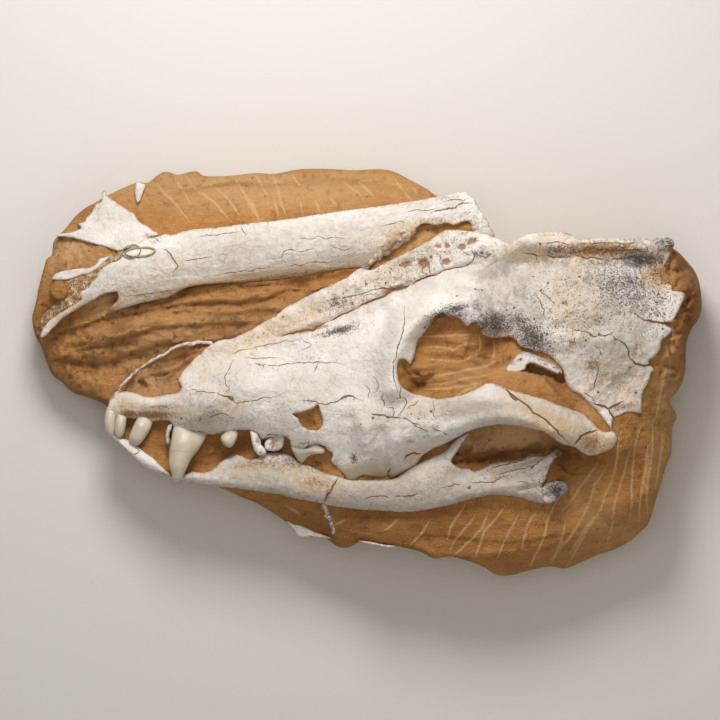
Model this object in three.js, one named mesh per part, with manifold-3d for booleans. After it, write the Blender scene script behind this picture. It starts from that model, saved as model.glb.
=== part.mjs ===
// A dire wolf's skull and lower jaw, with a length of limb bone and a few bone fragments,
// lying half freed in a block of orange-brown sandstone.
//
// Millimetres, +Z up. The block rests on its flat underside at Z = 0. The skull lies on its right side:
// +X runs from the muzzle to the back of the head, and +Y from the jaw to the roof of the skull.
// Plan coordinates start at the middle of the block.

import * as THREE from "three";
import { mergeVertices } from "three/addons/utils/BufferGeometryUtils.js";
import Module from "manifold-3d";

const wasm = await Module();
wasm.setup();

// ---------------------------------------------------------------- driving dimensions

const GAP = 0.35; // clearance between pieces that touch in the rock
const SHARPEST_MITRE = 0.15; // keeps the corner of a grown outline from running away
const SKY = 150; // above everything
const BONE_CELL = 8; // spacing of the surface grid on bone
const TOOTH_CELL = 4; // spacing of the surface grid on teeth and fragments
const ROCK_CELL = 14; // spacing of the surface grid on rock
const BELLY_CELL = 40; // spacing of the hidden undersides
const BLEND = 3.5; // how far two neighbouring forms melt into each other

const BLOCK = {
  rim: 27, // height of the block's top edge
  field: 38, // height of the rock away from the edge and the bones
  rimWidth: 42, // how far in from the edge the rock keeps rising
  shoulder: 4, // rounding of the top edge
  undercut: 7, // rounding of the bottom edge
};
const BANK = { reach: 12, below: 1 }; // the rock climbs to the bones: from how far out, and how far below
const CRANIUM = { floor: 20, edgeDrop: 3.5, edgeWidth: 7, bellyRise: 12, bellyWidth: 16 };
const MANDIBLE = { floor: 22, edgeDrop: 4.5, edgeWidth: 8, bellyRise: 9, bellyWidth: 10 };
const TOOTH = { floor: 40, edgeDrop: 4, edgeWidth: 4, bellyRise: 0, bellyWidth: 1 };
const TOOTH_PROUD = 1.5; // how far the cheek teeth stand out from the bone behind them
const FRAGMENT = { floor: 14, edgeDrop: 2, edgeWidth: 3, bellyRise: 0, bellyWidth: 1 };

const COLOUR = {
  rock: "#b27c4a",
  bone: "#e6dccf",
  stained: "#b9b1aa",
  spongy: "#a87a4c",
  enamel: "#ddd2b8",
};

// ---------------------------------------------------------------- plan outlines, [x, y]

const BLOCK_EDGE = {
  left: [
    [-131, -17], [-148, -10.5], [-158, -2], [-164, 13], [-168.5, 26], [-166, 36], [-163, 50],
    [-157.5, 65], [-146, 80], [-132, 88],
  ],
  top: [
    [-115, 95.5], [-102, 100.5], [-85, 99.5], [-58, 99.5], [-33, 102.5], [-18, 102.5], [0, 102],
    [18, 98.5], [34, 89], [52, 80], [66, 64], [100, 64], [140, 63],
  ],
  right: [
    [154, 61], [164, 55], [168, 44], [168.5, 29], [160.5, 17], [160, 0], [152, -14.5], [155.5, -24],
    [153, -41], [147, -56], [142, -76],
  ],
  bottom: [
    [134, -84], [116, -92], [97, -100], [82, -98], [69, -102.5], [56, -98], [43, -93], [27, -90],
    [7, -86.5], [-10, -88], [-24, -83], [-40, -77], [-53, -67], [-70, -60], [-92, -51], [-113, -36],
  ],
};

const CRANIUM_EDGE = {
  roof: [
    [-79, 13], [-73, 16], [-63, 18.5], [-53, 24], [-40, 32], [-23, 41.5], [-8, 48.5], [9, 54], [24, 61.5],
    [40, 70.5], [57, 69.5], [72, 64.5], [93, 69.5], [108, 66.5], [124, 67.5], [142, 66],
  ],
  rear: [
    [153, 62], [153, 42], [158, 39], [152, 24], [147, 15], [141, 3], [139, -10], [137, -20],
    [124, -24],
  ],
  archUnderside: [
    [125, -34], [117, -40.5], [106, -39.5], [94, -34], [82, -28.5], [67, -26.5], [57, -28], [47, -32],
    [38, -36.5], [28, -42],
  ],
  toothMargin: [
    [23, -48], [12, -53], [8, -47], [0, -42], [-10, -40], [-19, -42.5], [-21, -38.5], [-33, -37],
    [-42, -33], [-48, -38], [-57, -29], [-72, -30.5], [-80, -31.5], [-95, -28.5], [-108, -23.5],
    [-123, -22],
  ],
  nostril: [
    [-129, -24], [-129.5, -17], [-125, -10], [-117, -9.5], [-110, -12.5], [-93, -10.5], [-92, -4],
    [-86, 5],
  ],
};

const ORBIT_AND_TEMPLE_EDGE = [
  [15.5, 1], [16, 6], [20, 5], [23, 4.5], [25.5, 15], [33, 24.5], [44, 27.5], [50, 22.5], [54.5, 24],
  [60, 18], [74, 17.5], [79, 11], [91, 8], [98, 1], [103, -9], [112, -17], [117, -30],
  [107, -20], [87, -13], [72, -8], [59, -6], [48, -11], [29, -12], [19, -7],
];
const INFRAORBITAL_EDGE = [
  [-36, -21], [-29, -19.5], [-24, -16.5], [-21.5, -23], [-25, -29], [-31, -27],
];

const MANDIBLE_EDGE = {
  lower: [
    [-128.5, -33], [-118, -41], [-108, -49], [-98, -52.5], [-83, -56.5], [-58, -60], [-35, -63],
    [-18, -66.5], [0, -69], [27, -70], [52, -64.5], [67, -61.5], [82, -64.5], [91, -66],
  ],
  rear: [
    [96, -64], [92, -58], [89, -56], [90.5, -48], [93, -43], [98, -40.5],
  ],
  upper: [
    [90, -42], [77, -44.5], [57, -48], [47, -46], [43, -45], [44, -39], [50, -31], [41, -32],
    [20, -46], [0, -48], [-15, -48], [-24, -48], [-33, -44], [-54, -42], [-67, -42.5],
    [-75, -48], [-85, -51], [-96, -51], [-108, -42], [-118, -37], [-125, -33],
  ],
};
const JAW_BREAK = [[-22, -44], [-20.5, -55], [-22, -70]];

const THIRD_PREMOLAR_EDGE = [
  [-37, -38], [-33.5, -45], [-32, -46.5], [-28, -42], [-20.5, -41], [-20.5, -38.5], [-31, -37],
];
const CARNASSIAL_EDGE = [
  [-17.5, -43.5], [-12, -50], [-8, -56], [-3.5, -53.5], [0.5, -52], [6, -54], [10.5, -53], [7.5, -47],
  [0, -42.5], [-10, -40.5],
];

// Fragments in the rock, and how far each stands proud of it.
const FRAGMENTS = {
  shard: { proud: 3, colour: COLOUR.bone, edge: [
    [-131, 91], [-127, 85.5], [-117, 80], [-109, 72.5], [-103, 69], [-112, 65.5], [-124, 61], [-136, 63.5],
    [-156, 68], [-145, 73], [-138, 80], [-133, 85],
  ] },
  shard_chip: { proud: 3, colour: COLOUR.bone, edge: [[-115.5, 95], [-111, 95], [-113, 86], [-116, 86.5]] },
  splinter_upper: { proud: 3, colour: COLOUR.bone, edge: [
    [-158, 47], [-156, 49.5], [-148, 51], [-138, 53], [-128, 58], [-134, 50], [-146, 46.5],
  ] },
  splinter_lower: { proud: 4, colour: COLOUR.bone, edge: [
    [-164, 18], [-158, 25.5], [-150, 29.5], [-143, 33.5], [-134, 37], [-125, 40], [-137, 30], [-152, 22],
  ] },
  spongy_bone: { proud: 3, colour: COLOUR.spongy, edge: [
    [-152, 33], [-153, 42], [-147, 46], [-136, 49], [-129, 54], [-127, 45], [-139, 41], [-141, 36],
  ] },
  ear_fragment: { proud: 5, colour: COLOUR.bone, edge: [
    [69, 0.5], [72, 6], [79.5, 10], [88, 8.5], [95, 4], [90, 1], [82, 2], [76, -1.5],
  ] },
  edge_sliver: { proud: 1.5, colour: COLOUR.bone, edge: [[-39, -75], [-33, -76], [-22, -82.5], [-32, -80]] },
};
const NODULES = {
  rock_nodule: { at: [-154, 41, 37], radii: [5, 5, 4.5], colour: COLOUR.bone },
  crest_nodule: { at: [148, 64, 54], radii: [5.5, 3.4, 4.5], colour: COLOUR.stained },
};

// ---------------------------------------------------------------- round pieces

// Stations along each bar: [x, y, z, half width, half depth].
const CANINE = { sides: 12, steps: 8, stations: [
  [-90, -25, 51, 8, 6.5], [-90.5, -32, 53, 8.4, 6.5], [-93, -40, 52, 7, 6], [-94, -48, 49.5, 4.6, 4.2],
  [-92.5, -54.5, 46.5, 1.2, 1.2],
] };
const INCISORS = [
  [[-126.5, -18, 37, 3, 3], [-127, -26, 37.5, 3.1, 3], [-126.5, -34, 35.5, 1.8, 1.6]],
  [[-122, -18, 38, 2, 2.5], [-121.5, -27, 39, 2.2, 2.6], [-121.5, -33.5, 37, 1.6, 1.4]],
  [[-111, -19, 41, 2.8, 3], [-112, -26, 42, 3.2, 3.2], [-115, -33, 41, 2.4, 2.4], [-117, -37.5, 38, 0.9, 1]],
].map((stations) => ({ stations, sides: 8, steps: 4 }));
const FIRST_PREMOLAR = { sides: 8, steps: 4, stations: [
  [-69, -26, 52, 2.8, 3], [-69.5, -31, 53, 3.4, 3.4], [-71, -36.5, 51, 2.4, 2.4],
] };
const LIMB_BONE = { sides: 16, steps: 12, stations: [
  [-150, 39, 35, 12, 11], [-123, 48, 37, 15.2, 14.5], [-63, 60, 38, 14.2, 14], [-13, 66.5, 39, 13.8, 14],
  [27, 73, 39.5, 14, 14], [70, 80, 39, 14.8, 14],
] };
// The broken ends of the limb bone, in plan.
const LIMB_BONE_TRIM = [
  [-142, 41], [-138, 44], [-134, 50], [-128, 54], [-124, 56], [-118, 70], [-60, 84], [40, 100], [50, 92],
  [54, 87], [57, 80], [61, 74], [65, 66], [60, 56], [-60, 36], [-118, 28], [-130, 26],
];

// ---------------------------------------------------------------- sutures and breaks, [x, y]

const SUTURE = {
  premaxilla: [[-96, -36], [-97.5, -24], [-92, -17], [-91, -2]],
  nasalSide: [[-92, 7], [-70, 8], [-55, 8], [-33, 13], [-10, 23], [6, 32], [14, 40], [18, 44]],
  midline: [
    [-90, 13], [-72, 12], [-58, 12], [-43, 18], [-23, 24], [-8, 30.5], [14, 41], [32, 47.5], [54, 54],
    [69, 61],
  ],
  rightNasal: [[-10, 29], [-6, 38], [-14, 52]],
  face: [[13, 42], [19, 27], [17, 13], [13, 3], [17, -2]],
  cheek: [[17, -2], [24, -20], [31, -29], [27, -50]],
  arch: [[62, -3], [72, -11], [82, -18], [91, -27], [106, -44]],
  glenoid: [[97, -44], [104, -35], [108, -31.5], [116, -28.5], [130, -30]],
  crown: [[70, 75], [69, 62], [66, 50], [56, 38], [51, 19]],
  crest: [[67, 60], [85, 57], [100, 58], [116, 56], [136, 57], [160, 58]],
  rearPlate: [[86, 7], [96, 15], [104, 17], [112, 16], [122, 19], [133, 30], [138, 26], [160, 24]],
  mastoid: [[148, -1], [141, 2], [134, 5], [129, 2], [127.5, -12], [122, -16], [121, -31]],
};

// A point in each bone of the cranium.
const CRANIUM_BONES = {
  premaxilla: [-110, -17],
  maxilla: [-40, -10],
  nasal_left: [-60, 10],
  nasal_right: [-35, 28],
  frontal_left: [40, 36],
  frontal_right: [30, 57],
  jugal: [45, -20],
  zygomatic_process: [90, -22],
  glenoid_process: [115, -36],
  parietal: [100, 35],
  sagittal_crest: [100, 63],
  squamosal: [120, 5],
  mastoid: [134, -8],
};
const MANDIBLE_BONES = { mandible_front: [-60, -52], mandible_rear: [40, -60] };

// ---------------------------------------------------------------- forms of the surface

// A ridge line: each point is [x, y, height, half width]; the surface falls by drop at the half width.
const CRANIUM_FORMS = {
  dorsalMidline: { drop: 8, line: [
    [-84, 12, 42, 13], [-40, 18, 48, 15], [-5, 32, 53, 17], [30, 46, 57, 19], [56, 55, 58, 19],
  ] },
  rightRoof: { drop: 5, line: [
    [-42, 28, 44, 9], [-5, 44, 48, 10], [25, 57, 50, 10], [52, 66, 50, 10],
  ] },
  muzzleSide: { drop: 12, line: [
    [-128, -17, 38, 12], [-105, -15, 46, 14], [-86, -15, 53, 18], [-50, -12, 58, 22],
    [-10, -22, 65, 25], [14, -26, 71, 20],
  ] },
  faceBeforeTheOrbit: { drop: 10, line: [
    [-12, 0, 60, 26], [4, 2, 66, 24], [15, 4, 72, 16],
  ] },
  zygomaticArch: { drop: 10, line: [
    [20, -28, 72, 12], [45, -21, 79, 12], [67, -17, 84, 12], [87, -24, 84, 12], [102, -31, 78, 11],
    [115, -36, 69, 12], [123, -33, 66, 12],
  ] },
  orbitalRim: { drop: 10, line: [
    [14, -8, 74, 9], [15, 6, 74, 8], [20, 20, 74, 9], [32, 30, 75, 10], [45, 31, 76, 11], [54, 27, 77, 10],
  ] },
  braincase: { drop: 24, line: [
    [70, 32, 66, 24], [90, 27, 74, 34], [112, 24, 77, 38], [135, 22, 72, 36], [150, 24, 65, 30],
  ] },
  sagittalCrest: { drop: 6, line: [
    [62, 61, 58, 8], [80, 64, 59, 8], [110, 64, 60, 8], [142, 63, 57, 8],
  ] },
  nuchalBorder: { drop: 8, line: [
    [152, 56, 54, 14], [150, 34, 59, 14], [142, 6, 62, 14], [133, -14, 62, 12],
  ] },
  rootOfTheArch: { drop: 8, line: [
    [118, -28, 68, 12], [112, -12, 67, 14], [102, 4, 69, 14],
  ] },
};

const MANDIBLE_FORMS = {
  body: { drop: 7, line: [
    [-127, -34, 37, 8], [-105, -46, 42, 9], [-80, -53, 46, 10], [-45, -54, 51, 12], [-10, -58, 55, 13],
    [30, -60, 59, 14], [60, -56, 61, 13], [88, -54, 61, 12],
  ] },
  coronoid: { drop: 6, line: [[30, -52, 60, 10], [44, -42, 64, 7], [50, -32, 65, 5]] },
};

// Places where the rock stands at a height of its own: [x, y], reach along and across, turn in degrees.
const ROCK_FILLS = {
  besideTheLimbBone: { at: [-60, 32], reach: [95, 20], turn: 12, height: 43 },
  betweenLimbBoneAndBrow: { at: [20, 62], reach: [45, 12], turn: 20, height: 46 },
  limbBonesBed: { at: [-50, 62], reach: [125, 30], turn: 11, height: 41 },
  underTheLimbBonesEnd: { at: [52, 82], reach: [30, 16], turn: 10, height: 38 },
  underTheCrest: { at: [112, 62], reach: [62, 20], turn: 0, height: 42 },
  nostril: { at: [-103, 4], reach: [26, 12], turn: 35, height: 38 },
  behindTheIncisors: { at: [-105, -32], reach: [22, 9], turn: -20, height: 39 },
  underTheMuzzle: { at: [-100, -45], reach: [44, 16], turn: -25, height: 34 },
  besideThePremolars: { at: [-60, -38], reach: [34, 9], turn: 0, height: 46 },
  infraorbitalCanal: { at: [-28, -23], reach: [11, 9], turn: 0, height: 57 },
  beforeTheCarnassial: { at: [-22, -44], reach: [14, 8], turn: 0, height: 50 },
  orbit: { at: [38, 6], reach: [30, 24], turn: 0, height: 66 },
  temple: { at: [84, -1], reach: [36, 14], turn: -22, height: 67 },
  underTheArch: { at: [70, -40], reach: [38, 14], turn: 0, height: 60 },
  belowTheRamus: { at: [60, -72], reach: [90, 26], turn: 8, height: 50 },
  behindTheJaw: { at: [125, -45], reach: [34, 42], turn: 0, height: 51 },
  behindTheSkull: { at: [150, 15], reach: [18, 55], turn: 0, height: 47 },
};

// Places where the rock stays deeper below the rims of the bones: the same, with a depth.
const DEEP_CONTACTS = {
  roofOfTheOrbit: { at: [42, 24], reach: [30, 14], turn: 0, depth: 4 },
  edgeOfTheTemple: { at: [76, 16], reach: [32, 10], turn: -15, depth: 3 },
  underTheArch: { at: [70, -31], reach: [50, 12], turn: 0, depth: 8 },
  behindTheGlenoid: { at: [100, -36], reach: [16, 12], turn: 0, depth: 7 },
  besideThePremolars: { at: [-60, -36], reach: [50, 16], turn: 0, depth: 4 },
};

// Where the edge of the block is worn back to a bevel: the same, with the depth of the bevel.
const BEVELS = {
  belowTheMuzzle: { at: [-140, -8], reach: [50, 20], turn: -35, depth: 9 },
  behindTheNape: { at: [160, 45], reach: [16, 50], turn: 0, depth: 5 },
  belowTheJaw: { at: [0, -92], reach: [80, 14], turn: -18, depth: 4 },
};

const outlineOf = (edge) => Object.values(edge).flat();

// ---------------------------------------------------------------- plan curves

// A smooth closed loop through the points, counter-clockwise, as a list of Vector2.
function loopThrough(points, pointsPerSpan = 1) {
  const curve = new THREE.CatmullRomCurve3(
    points.map(([x, y]) => new THREE.Vector3(x, y, 0)),
    true,
    "centripetal",
  );
  const loop = [];
  const count = points.length * pointsPerSpan;
  for (let i = 0; i < count; i++) {
    const p = curve.getPoint(i / count);
    loop.push(new THREE.Vector2(p.x, p.y));
  }
  return THREE.ShapeUtils.isClockWise(loop) ? loop.reverse() : loop;
}

// A smooth open line through the points.
function lineThrough(points, steps = points.length * 3) {
  const curve = new THREE.CatmullRomCurve3(
    points.map(([x, y]) => new THREE.Vector3(x, y, 0)),
    false,
    "centripetal",
  );
  return curve.getPoints(steps).map((p) => new THREE.Vector2(p.x, p.y));
}

// The loop moved outward by a distance, with mitred corners.
function grown(loop, distance) {
  const outward = (from, to) => new THREE.Vector2(to.y - from.y, from.x - to.x).normalize();
  return loop.map((p, i) => {
    const before = outward(loop[(i + loop.length - 1) % loop.length], p);
    const after = outward(p, loop[(i + 1) % loop.length]);
    const mitre = before.clone().add(after);
    const length = distance / Math.max(1 + before.dot(after), SHARPEST_MITRE);
    return p.clone().addScaledVector(mitre, length);
  });
}

// The nearest place of a loop, and how far away it is.
function nearestOn(loop, x, y) {
  let nearest = { away: Infinity };
  for (let i = 0, j = loop.length - 1; i < loop.length; j = i++) {
    const a = loop[j];
    const dx = loop[i].x - a.x;
    const dy = loop[i].y - a.y;
    const t = THREE.MathUtils.clamp(((x - a.x) * dx + (y - a.y) * dy) / (dx * dx + dy * dy), 0, 1);
    const place = { x: a.x + t * dx, y: a.y + t * dy };
    const away = Math.hypot(x - place.x, y - place.y);
    if (away < nearest.away) nearest = { away, ...place };
  }
  return nearest;
}

// How far a point lies inside a loop; negative outside it.
function depthInside(loop, x, y) {
  let inside = false;
  for (let i = 0, j = loop.length - 1; i < loop.length; j = i++) {
    const a = loop[j];
    const b = loop[i];
    if (a.y > y !== b.y > y && x < ((b.x - a.x) * (y - a.y)) / (b.y - a.y) + a.x) inside = !inside;
  }
  const { away } = nearestOn(loop, x, y);
  return inside ? away : -away;
}

// ---------------------------------------------------------------- height functions

// The height of one ridge line at a place.
function ridgeHeight({ line, drop }, x, y) {
  let best = -Infinity;
  for (let i = 1; i < line.length; i++) {
    const [ax, ay, az, aw] = line[i - 1];
    const [bx, by, bz, bw] = line[i];
    const dx = bx - ax;
    const dy = by - ay;
    const t = THREE.MathUtils.clamp(((x - ax) * dx + (y - ay) * dy) / (dx * dx + dy * dy), 0, 1);
    const away = Math.hypot(x - ax - t * dx, y - ay - t * dy);
    const width = THREE.MathUtils.lerp(aw, bw, t);
    best = Math.max(best, THREE.MathUtils.lerp(az, bz, t) - drop * (away / width) ** 2);
  }
  return best;
}

// Several heights melted into the highest.
function blendedTop(heights) {
  const top = Math.max(...heights);
  return top + BLEND * Math.log(heights.reduce((sum, h) => sum + Math.exp((h - top) / BLEND), 0));
}

const surfaceOf = (forms) => (x, y) =>
  blendedTop(Object.values(forms).map((form) => ridgeHeight(form, x, y)));
const craniumTop = surfaceOf(CRANIUM_FORMS);
const mandibleTop = surfaceOf(MANDIBLE_FORMS);

// The weight of a rock fill: 1 at its middle, easing to 0 at its reach.
function fillWeight({ at, reach, turn }, x, y) {
  const angle = THREE.MathUtils.degToRad(turn);
  const dx = x - at[0];
  const dy = y - at[1];
  const along = (dx * Math.cos(angle) + dy * Math.sin(angle)) / reach[0];
  const across = (dy * Math.cos(angle) - dx * Math.sin(angle)) / reach[1];
  return 1 - THREE.MathUtils.smoothstep(Math.hypot(along, across), 0.45, 1.15);
}

const blockLoop = loopThrough(outlineOf(BLOCK_EDGE));

const bonesInRock = [
  {
    top: craniumTop,
    shape: CRANIUM,
    loops: [
      loopThrough(outlineOf(CRANIUM_EDGE)),
      loopThrough(ORBIT_AND_TEMPLE_EDGE),
      loopThrough(INFRAORBITAL_EDGE),
    ],
  },
  { top: mandibleTop, shape: MANDIBLE, loops: [loopThrough(outlineOf(MANDIBLE_EDGE))] },
];

// The rock rises from the block's rim to its field and its fills, and climbs to meet the bones.
function rockTop(x, y) {
  const depth = Math.max(depthInside(blockLoop, x, y), 0);
  const inland = THREE.MathUtils.smoothstep(depth, 0, BLOCK.rimWidth);
  const open = THREE.MathUtils.lerp(BLOCK.rim, BLOCK.field, inland);
  let level = Object.values(ROCK_FILLS).reduce(
    (height, fill) => Math.max(height, THREE.MathUtils.lerp(open, fill.height, fillWeight(fill, x, y))),
    open,
  );
  const deeper = Math.max(
    ...Object.values(DEEP_CONTACTS).map((contact) => contact.depth * fillWeight(contact, x, y)),
  );
  for (const { loops, top, shape } of bonesInRock) {
    for (const loop of loops) {
      const rim = nearestOn(loop, x, y);
      const rimHeight = top(rim.x, rim.y) - shape.edgeDrop;
      const share = Math.exp(-((rim.away / BANK.reach) ** 2));
      level = THREE.MathUtils.lerp(level, rimHeight - BANK.below - deeper, share);
    }
  }
  const bevel = Math.max(...Object.values(BEVELS).map((worn) => worn.depth * fillWeight(worn, x, y)));
  const edge = BLOCK.shoulder + bevel;
  return level - edge * roundOff(depth, edge);
}

// A quarter-round edge: 1 at the edge, 0 from the radius inward.
function roundOff(depth, radius) {
  const t = THREE.MathUtils.clamp(depth / radius, 0, 1);
  return 1 - Math.sqrt(1 - (1 - t) ** 2);
}

// ---------------------------------------------------------------- solids

function solidOf(geometry) {
  const bare = geometry.clone();
  bare.deleteAttribute("normal");
  bare.deleteAttribute("uv");
  const merged = mergeVertices(bare, 1e-4);
  return new wasm.Manifold(
    new wasm.Mesh({
      numProp: 3,
      vertProperties: new Float32Array(merged.attributes.position.array),
      triVerts: new Uint32Array(merged.index.array),
    }),
  );
}

function prism(loop, low, high) {
  const geometry = new THREE.ExtrudeGeometry(new THREE.Shape(loop), {
    depth: high - low,
    bevelEnabled: false,
    steps: 1,
  });
  return solidOf(geometry.translate(0, 0, low));
}

// The solid between two height functions over a rectangle round the loop.
function layer(loop, bottom, top, cell) {
  const box = new THREE.Box2().setFromPoints(loop).expandByScalar(2);
  const size = box.getSize(new THREE.Vector2());
  const middle = box.getCenter(new THREE.Vector2());
  const columns = Math.ceil(size.x / cell);
  const rows = Math.ceil(size.y / cell);
  const geometry = new THREE.BoxGeometry(size.x, size.y, 2, columns, rows, 1);
  geometry.translate(middle.x, middle.y, 0);
  const position = geometry.attributes.position;
  for (let i = 0; i < position.count; i++) {
    const height = position.getZ(i) > 0 ? top : bottom;
    position.setZ(i, height(position.getX(i), position.getY(i)));
  }
  return solidOf(geometry);
}

const ground = () => 0;
const sky = () => SKY;

// A thin upright wall along a line, which parts a solid.
function cutAlong(points) {
  const line = lineThrough(points);
  const side = (sign) =>
    line.map((p, i) => {
      const along = line[Math.min(i + 1, line.length - 1)].clone().sub(line[Math.max(i - 1, 0)]).normalize();
      return new THREE.Vector2(p.x - (sign * along.y * GAP) / 2, p.y + (sign * along.x * GAP) / 2);
    });
  return prism([...side(-1), ...side(1).reverse()], -SKY, SKY);
}

// A round bar bent along a curve: each station is [x, y, z, half width, half depth].
function bentBar(stations, sides, steps) {
  const path = new THREE.CatmullRomCurve3(stations.map(([x, y, z]) => new THREE.Vector3(x, y, z)));
  const widths = new THREE.CatmullRomCurve3(stations.map(([, , , w, d]) => new THREE.Vector3(w, d, 0)));
  const geometry = new THREE.CylinderGeometry(1, 1, 1, sides, steps);
  const position = geometry.attributes.position;
  const up = new THREE.Vector3(0, 0, 1);
  for (let i = 0; i < position.count; i++) {
    const t = THREE.MathUtils.clamp(0.5 - position.getY(i), 0, 1);
    const along = path.getTangent(t);
    const across = new THREE.Vector3().crossVectors(up, along).normalize();
    const lift = new THREE.Vector3().crossVectors(along, across);
    const half = widths.getPoint(t);
    const place = path
      .getPoint(t)
      .addScaledVector(across, position.getX(i) * half.x)
      .addScaledVector(lift, position.getZ(i) * half.y);
    position.setXYZ(i, place.x, place.y, place.z);
  }
  return solidOf(geometry);
}

// ---------------------------------------------------------------- the group

const fossil = new THREE.Group();
fossil.name = "dire_wolf_skull_fossil";

function addNode(name, solid, colour, roughness = 0.85) {
  const mesh = solid.getMesh();
  const geometry = new THREE.BufferGeometry();
  geometry.setAttribute("position", new THREE.Float32BufferAttribute(mesh.vertProperties, 3));
  geometry.setIndex(new THREE.BufferAttribute(mesh.triVerts, 1));
  geometry.computeVertexNormals();
  const node = new THREE.Mesh(
    geometry,
    new THREE.MeshStandardMaterial({ color: colour, roughness, metalness: 0 }),
  );
  node.name = name;
  fossil.add(node);
}

// The largest separate body of a solid.
const mainBody = (solid) => solid.decompose().reduce((a, b) => (a.volume() > b.volume() ? a : b));

// A piece between its rounded crown and its rounded belly, and the room that it takes in the rock.
function embedded(loop, top, shape, cell = BONE_CELL) {
  const crown = (x, y) => top(x, y) - shape.edgeDrop * roundOff(depthInside(loop, x, y), shape.edgeWidth);
  const belly = (x, y) => shape.floor + shape.bellyRise * roundOff(depthInside(loop, x, y), shape.bellyWidth);
  const lowered = (x, y) => belly(x, y) - GAP;
  return {
    solid: layer(loop, ground, crown, cell)
      .intersect(layer(loop, belly, sky, BELLY_CELL))
      .intersect(prism(loop, 0, SKY)),
    room: layer(loop, lowered, sky, BELLY_CELL).intersect(prism(grown(loop, GAP), 0, SKY)),
  };
}

// ---------------------------------------------------------------- bars and balls

const widened = (stations) => stations.map(([x, y, z, w, d]) => [x, y, z, w + GAP, d + GAP]);
const bar = ({ stations, sides, steps }) => bentBar(stations, sides, steps);
const barRoom = ({ stations, sides, steps }) => bentBar(widened(stations), sides, steps);

// The room of a bar with the way up from its middle, so that no rock closes over it.
function openBarRoom(shape) {
  const wide = widened(shape.stations);
  const line = lineThrough(wide, shape.steps);
  const widths = new THREE.CatmullRomCurve3(wide.map(([, , , w]) => new THREE.Vector3(w, 0, 0)));
  const side = (sign) =>
    line.map((p, i) => {
      const along = line[Math.min(i + 1, shape.steps)].clone().sub(line[Math.max(i - 1, 0)]).normalize();
      const half = widths.getPoint(i / shape.steps).x * sign;
      return new THREE.Vector2(p.x - along.y * half, p.y + along.x * half);
    });
  const highest = Math.max(...wide.map(([, , z]) => z));
  return barRoom(shape).add(prism([...side(1), ...side(-1).reverse()], highest, SKY));
}

function ball({ at, radii }, extra = 0) {
  const geometry = new THREE.SphereGeometry(1, 10, 6);
  geometry.scale(radii[0] + extra, radii[1] + extra, radii[2] + extra);
  return solidOf(geometry.translate(...at));
}

// ---------------------------------------------------------------- assembly

// The room that each piece takes; whatever is added later is cut by it.
const rooms = [];
const withoutRooms = (solid) => rooms.reduce((rest, room) => rest.subtract(room), solid);

// The separate body that holds a place of the plan.
function bodyAt(bodies, [x, y]) {
  const needle = solidOf(new THREE.BoxGeometry(0.2, 0.2, SKY).translate(x, y, SKY / 2));
  return bodies.find((body) => body.intersect(needle).volume() > 0);
}

const toothTop = (x, y) => craniumTop(x, y) + TOOTH_PROUD;
const cheekTeeth = {
  premolar_3: embedded(loopThrough(THIRD_PREMOLAR_EDGE), toothTop, TOOTH, TOOTH_CELL),
  carnassial: embedded(loopThrough(CARNASSIAL_EDGE), toothTop, TOOTH, TOOTH_CELL),
};

function addCranium() {
  const { solid, room } = embedded(loopThrough(outlineOf(CRANIUM_EDGE)), craniumTop, CRANIUM);
  let bone = solid;
  let taken = room;
  for (const edge of [ORBIT_AND_TEMPLE_EDGE, INFRAORBITAL_EDGE]) {
    const loop = loopThrough(edge);
    bone = bone.subtract(prism(loop, 0, SKY));
    taken = taken.subtract(prism(grown(loop, -GAP), 0, SKY));
  }
  for (const tooth of Object.values(cheekTeeth)) bone = bone.subtract(tooth.room);
  bone = bone.subtract(barRoom(CANINE)).subtract(ball(NODULES.crest_nodule, GAP));
  for (const line of Object.values(SUTURE)) bone = bone.subtract(cutAlong(line));
  const bodies = bone.decompose();
  const smallTeeth = { premaxilla: INCISORS, maxilla: [FIRST_PREMOLAR] };
  for (const [name, place] of Object.entries(CRANIUM_BONES)) {
    const teeth = (smallTeeth[name] ?? []).map(bar);
    const whole = teeth.reduce((joined, tooth) => joined.add(tooth), bodyAt(bodies, place));
    addNode(name, mainBody(whole), COLOUR.bone);
  }
  rooms.push(taken, ...[...INCISORS, FIRST_PREMOLAR].map(openBarRoom));
}

function addTeeth() {
  addNode("canine", bar(CANINE), COLOUR.enamel, 0.35);
  for (const [name, tooth] of Object.entries(cheekTeeth)) {
    addNode(name, tooth.solid, COLOUR.enamel, 0.35);
    rooms.push(tooth.room);
  }
}

function addMandible() {
  const { solid, room } = embedded(loopThrough(outlineOf(MANDIBLE_EDGE)), mandibleTop, MANDIBLE);
  const bone = withoutRooms(solid).subtract(barRoom(CANINE)).subtract(cutAlong(JAW_BREAK));
  const bodies = bone.decompose();
  for (const [name, place] of Object.entries(MANDIBLE_BONES)) {
    addNode(name, bodyAt(bodies, place), COLOUR.bone);
  }
  rooms.push(room, openBarRoom(CANINE));
}

function addLimbBone() {
  const trim = loopThrough(LIMB_BONE_TRIM);
  addNode("limb_bone", mainBody(withoutRooms(bar(LIMB_BONE).intersect(prism(trim, 0, SKY)))), COLOUR.bone);
  rooms.push(openBarRoom(LIMB_BONE).intersect(prism(grown(trim, GAP), 0, SKY)));
}

function addFragments() {
  for (const [name, { edge, proud, colour }] of Object.entries(FRAGMENTS)) {
    const top = (x, y) => rockTop(x, y) + proud;
    const { solid, room } = embedded(loopThrough(edge), top, FRAGMENT);
    addNode(name, mainBody(withoutRooms(solid)), colour);
    rooms.push(room);
  }
  for (const [name, shape] of Object.entries(NODULES)) {
    addNode(name, mainBody(withoutRooms(ball(shape))), shape.colour);
    rooms.push(ball(shape, GAP));
  }
}

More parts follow.
